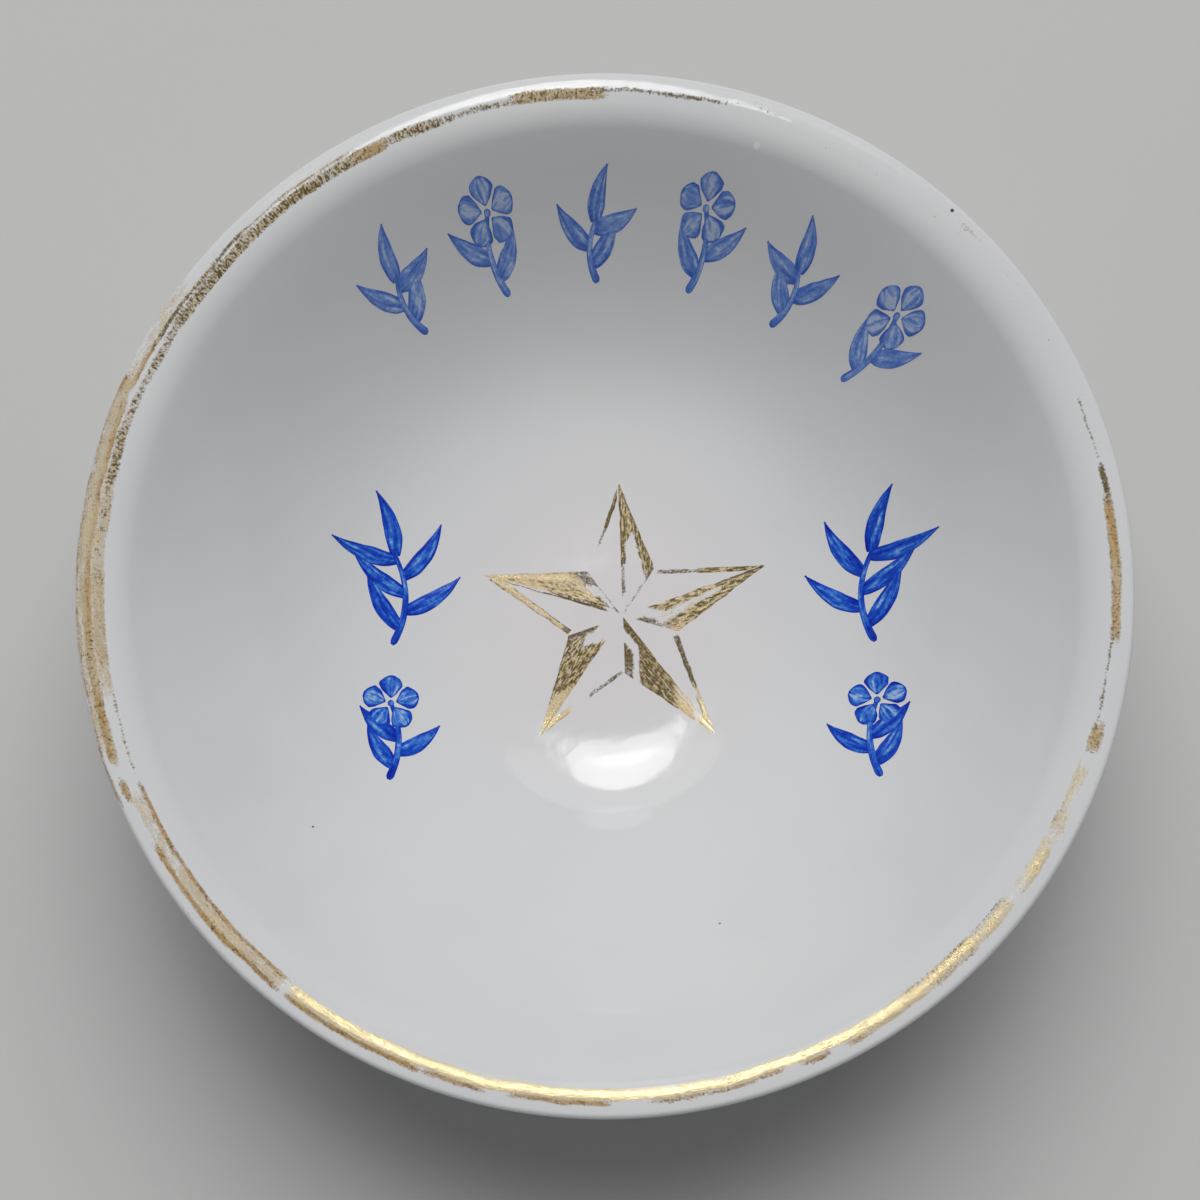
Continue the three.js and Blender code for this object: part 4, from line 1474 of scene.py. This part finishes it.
@dataclass
class BlueMotifs:
    """The blue sprigs and blossoms: six on an arc on the far wall, and two on either side of the star."""

    profile: CupProfile
    stem_width: float = 0.6
    stem_bow: float = 0.08
    leaf_width: float = 1.3
    leaf_lean: float = 54.0
    leaf_curl: float = 11.0
    leaf_spacing: float = 1.35
    petals: int = 5
    petal_radius: float = 0.88
    petal_ring: float = 1.3
    heart: float = 0.5
    top_leaf_at: float = 0.95
    arc_from_rim: float = 9.3
    arc_middle: float = 83.3
    arc_step: float = 15.8
    arc_motifs: int = 6
    arc_motif_height: float = 7.4
    arc_leaf_length: float = 3.5
    column_insets: dict[str, float] = field(default_factory=lambda: {"left": 4.6, "right": 0.3})
    upper: tuple[float, float, float] = (3.8, 12.4, 5.1)
    lower: tuple[float, float, float] = (-8.9, 8.2, 3.8)
    thin_strength: float = 0.50
    full_strength: float = 0.62
    seed_weights: tuple[float, float] = (1.3, 0.7)
    top_leaf_seed: float = 9.0
    petal_seed: float = 20.0
    heart_seed: float = 30.0

    def leaf(self, start: np.ndarray, heading: float, side: float, length: float, seed: float) -> Stroke:
        """Paints a leaf.

        Args:
            start: Where it leaves the stem.
            heading: The way it grows.
            side: 1 where it curls to the left and -1 to the right.
            length: Its length.
            seed: What sets its wobble apart.

        Returns:
            The stroke.
        """
        elbow = start + along(heading + side * self.leaf_curl) * length / 2
        end = start + along(heading - side * self.leaf_curl / 2) * length
        return Stroke(start, elbow, end, self.leaf_width, StrokeShape.LEAF, seed)

    def sprig(self, spot: np.ndarray, heading: float, side: float, height: float, leaf_length: float,
              blossom: bool) -> list[Stroke]:
        """Paints a motif.

        Args:
            spot: The middle of its place.
            heading: The way it grows.
            side: The side to which its stem is bowed.
            height: Its height.
            leaf_length: The length of its leaves.
            blossom: Whether it ends in a blossom, and not in a leaf.

        Returns:
            Its strokes, stem first.
        """
        head = self.petal_ring + self.petal_radius if blossom else leaf_length
        foot = spot - along(heading) * height / 2
        tip = spot + along(heading) * (height / 2 - head)
        elbow = (foot + tip) / 2 + along(heading + 90.0 * side) * 2 * self.stem_bow * height
        seed = float(abs(spot[0]) * self.seed_weights[0] + abs(spot[1]) * self.seed_weights[1])
        strokes = [Stroke(foot, elbow, tip, self.stem_width, StrokeShape.STEM, seed)]
        bare = head if blossom else 0.0
        count = round((height - head - bare) / self.leaf_spacing)
        for index in range(1, count + 1):
            share = index / (count + 0.5) * (1.0 - bare / (height - head))
            on_stem = bowed(foot, elbow, tip, share)
            way = bowed_way(foot, elbow, tip, share)
            leaf_side = side if index % 2 == 0 else -side
            leaf_heading = math.degrees(math.atan2(way[1], way[0])) + leaf_side * self.leaf_lean
            strokes.append(self.leaf(on_stem, leaf_heading, leaf_side, leaf_length, seed + index))
        if not blossom:
            top = bowed(foot, elbow, tip, self.top_leaf_at)
            lean = heading - side * self.leaf_curl
            return [*strokes, self.leaf(top, lean, side, leaf_length, seed + self.top_leaf_seed)]
        for index in range(self.petals):
            way = along(heading + 360.0 * index / self.petals)
            near = tip + way * (self.petal_ring - self.petal_radius)
            far = tip + way * (self.petal_ring + self.petal_radius)
            width = 2 * self.petal_radius
            petal_seed = seed + self.petal_seed + index
            strokes.append(Stroke(near, (near + far) / 2, far, width, StrokeShape.PETAL, petal_seed))
        half = along(heading) * self.heart / 2
        dot = Stroke(tip - half, tip, tip + half, self.heart, StrokeShape.DOT, seed + self.heart_seed)
        return [*strokes, dot]

    def build(self) -> None:
        """Paints the motifs."""
        work = Brushwork(self.profile)
        washed = CobaltEnamel(
            deep=(0.036, 0.110, 0.46),
            middle=(0.085, 0.19, 0.58),
            thin=(0.20, 0.33, 0.68),
            dry=(0.46, 0.54, 0.72),
        )
        pale = washed.material("cobalt_enamel_thin", self.thin_strength)
        full = CobaltEnamel().material("cobalt_enamel_full", self.full_strength)
        radius = self.profile.rim_diameter / 2 - self.arc_from_rim
        for index in range(self.arc_motifs):
            heading = self.arc_middle + self.arc_step * ((self.arc_motifs - 1) / 2 - index)
            side = 1.0 if index < self.arc_motifs / 2 else -1.0
            strokes = self.sprig(
                along(heading) * radius, heading, side, self.arc_motif_height, self.arc_leaf_length,
                blossom=index % 2 == 1,
            )
            name = f"far_{index + 1}"
            work.lay(f"blue_{name}", strokes, pale, "blue_enamel", f"blue_motif_{name}")
        for name, inset in self.column_insets.items():
            side = -1.0 if name == "left" else 1.0
            x = side * (self.profile.well_radius - inset)
            for place, (y, height, leaf_length) in (("upper", self.upper), ("lower", self.lower)):
                strokes = self.sprig(np.array([x, y]), 90.0, side, height, leaf_length, place == "lower")
                full_name = f"{name}_{place}"
                work.lay(f"blue_{full_name}", strokes, full, "blue_enamel", f"blue_motif_{full_name}")


@dataclass(frozen=True)
class Lamp:
    """An oval lamp that points at the cup.

    It hangs on the side of its azimuth, leans by its tilt from straight above, and is reach metres away. Its
    size is its width and height in metres, and its power is in watts. Nothing mirrors it if it is hidden.
    """

    name: str
    azimuth: float
    tilt: float
    reach: float
    size: tuple[float, float]
    power: float
    hidden: bool = False

    def hang(self, target: Vector) -> None:
        """Hangs the lamp.

        Args:
            target: The place that it points at, in metres.
        """
        data = bpy.data.lights.new(self.name, "AREA")
        data.shape = "ELLIPSE"
        data.size, data.size_y = self.size
        data.energy = self.power
        lamp = bpy.data.objects.new(self.name, data)
        bpy.context.scene.collection.objects.link(lamp)
        flat = along(self.azimuth) * math.sin(math.radians(self.tilt))
        way = Vector((flat[0], flat[1], math.cos(math.radians(self.tilt))))
        lamp.location = target + way * self.reach
        lamp.rotation_euler = way.to_track_quat("Z", "Y").to_euler()
        lamp.visible_glossy = not self.hidden


@dataclass
class Studio:
    """The pale floor, the lamps and the camera.

    The camera's lens and its clipping distances are in the camera's own units, millimetres and metres, and
    rim_centre is the middle of the rim in a square picture of frame_pixels.
    """

    profile: CupProfile
    elevation: float = 80.95
    distance: float = 200.0
    lens: float = 83.8
    frame_pixels: float = 1200.0
    rim_centre: tuple[float, float] = (605.0, 580.0)
    clipping: tuple[float, float] = (0.01, 10.0)
    floor_colour: tuple = (0.62, 0.62, 0.61)
    floor_shade: float = 0.97
    floor_cloud_scale: float = 8.0
    floor_roughness: float = 0.8
    floor_size: float = 4.0
    room_colour: tuple = (0.96, 0.97, 1.0)
    room_strength: float = 0.16
    lamp_target_height: float = 12.0
    lamps: tuple[Lamp, ...] = (
        Lamp("key", 92.0, 15.2, 0.7, (0.051, 0.120), 0.110),
        Lamp("core", 92.0, 13.2, 0.69, (0.016, 0.025), 0.0050),
        Lamp("glow", 92.0, 21.0, 1.2, (0.32, 0.32), 0.28),
        Lamp("window", 92.0, 31.5, 1.2, (0.138, 0.22), 0.085),
        Lamp("soft", 90.0, 29.0, 1.2, (1.0, 1.0), 10.7, hidden=True),
    )

    def floor(self) -> None:
        """Lays a pale floor that still takes the cup's shadow."""
        graph = MaterialGraph("pale_floor")
        cloud = graph.grain(graph.place(), self.floor_cloud_scale, 2.0)
        low = tuple(self.floor_shade * c for c in self.floor_colour)
        colour = graph.colours(cloud, [(0.0, low), (1.0, self.floor_colour)])
        graph.finish(Base_Color=colour, Roughness=self.floor_roughness)
        bpy.ops.mesh.primitive_plane_add(size=self.floor_size)
        floor = bpy.context.object
        floor.name = "floor"
        floor.data.materials.append(graph.material)

    def light(self) -> None:
        """Lights the cup from the far side, with a soft fill from above."""
        for lamp in self.lamps:
            lamp.hang(Vector((0.0, 0.0, self.lamp_target_height * MM)))
        world = bpy.data.worlds.new("room")
        bpy.context.scene.world = world
        world.use_nodes = True
        background = world.node_tree.nodes["Background"]
        background.inputs["Color"].default_value = (*self.room_colour, 1.0)
        background.inputs["Strength"].default_value = self.room_strength

    def camera(self) -> None:
        """Sets the camera at the photograph's angle over the rim."""
        data = bpy.data.cameras.new("camera")
        data.lens = self.lens
        data.clip_start, data.clip_end = self.clipping
        camera = bpy.data.objects.new("camera", data)
        bpy.context.scene.collection.objects.link(camera)
        tilt = math.radians(self.elevation)
        back = Vector((0.0, -math.cos(tilt), math.sin(tilt)))
        up = Vector((0.0, math.sin(tilt), math.cos(tilt)))
        pixel = self.distance / (self.lens / data.sensor_width * self.frame_pixels)
        aside = (self.frame_pixels / 2 - self.rim_centre[0]) * pixel
        above = (self.rim_centre[1] - self.frame_pixels / 2) * pixel
        rim = Vector((0.0, 0.0, self.profile.cup_height))
        camera.location = (rim + back * self.distance + Vector((aside, 0.0, 0.0)) + up * above) * MM
        camera.rotation_euler = back.to_track_quat("Z", "Y").to_euler()
        bpy.context.scene.camera = camera

    def build(self) -> None:
        """Sets the stage."""
        self.floor()
        self.light()
        self.camera()
        bpy.context.scene.view_settings.view_transform = "Standard"


def main() -> None:
    """Builds the cup's pieces in the order in which they are made, then the stage."""
    logging.basicConfig(level=logging.INFO, format="%(name)s: %(message)s")
    profile = CupProfile()
    for maker in (PorcelainBody, GlazeCoats, GiltRim, GiltStar, BlueMotifs, Studio):
        log.info("building %s", maker.__name__)
        maker(profile).build()


if __name__ == "__main__":
    main()
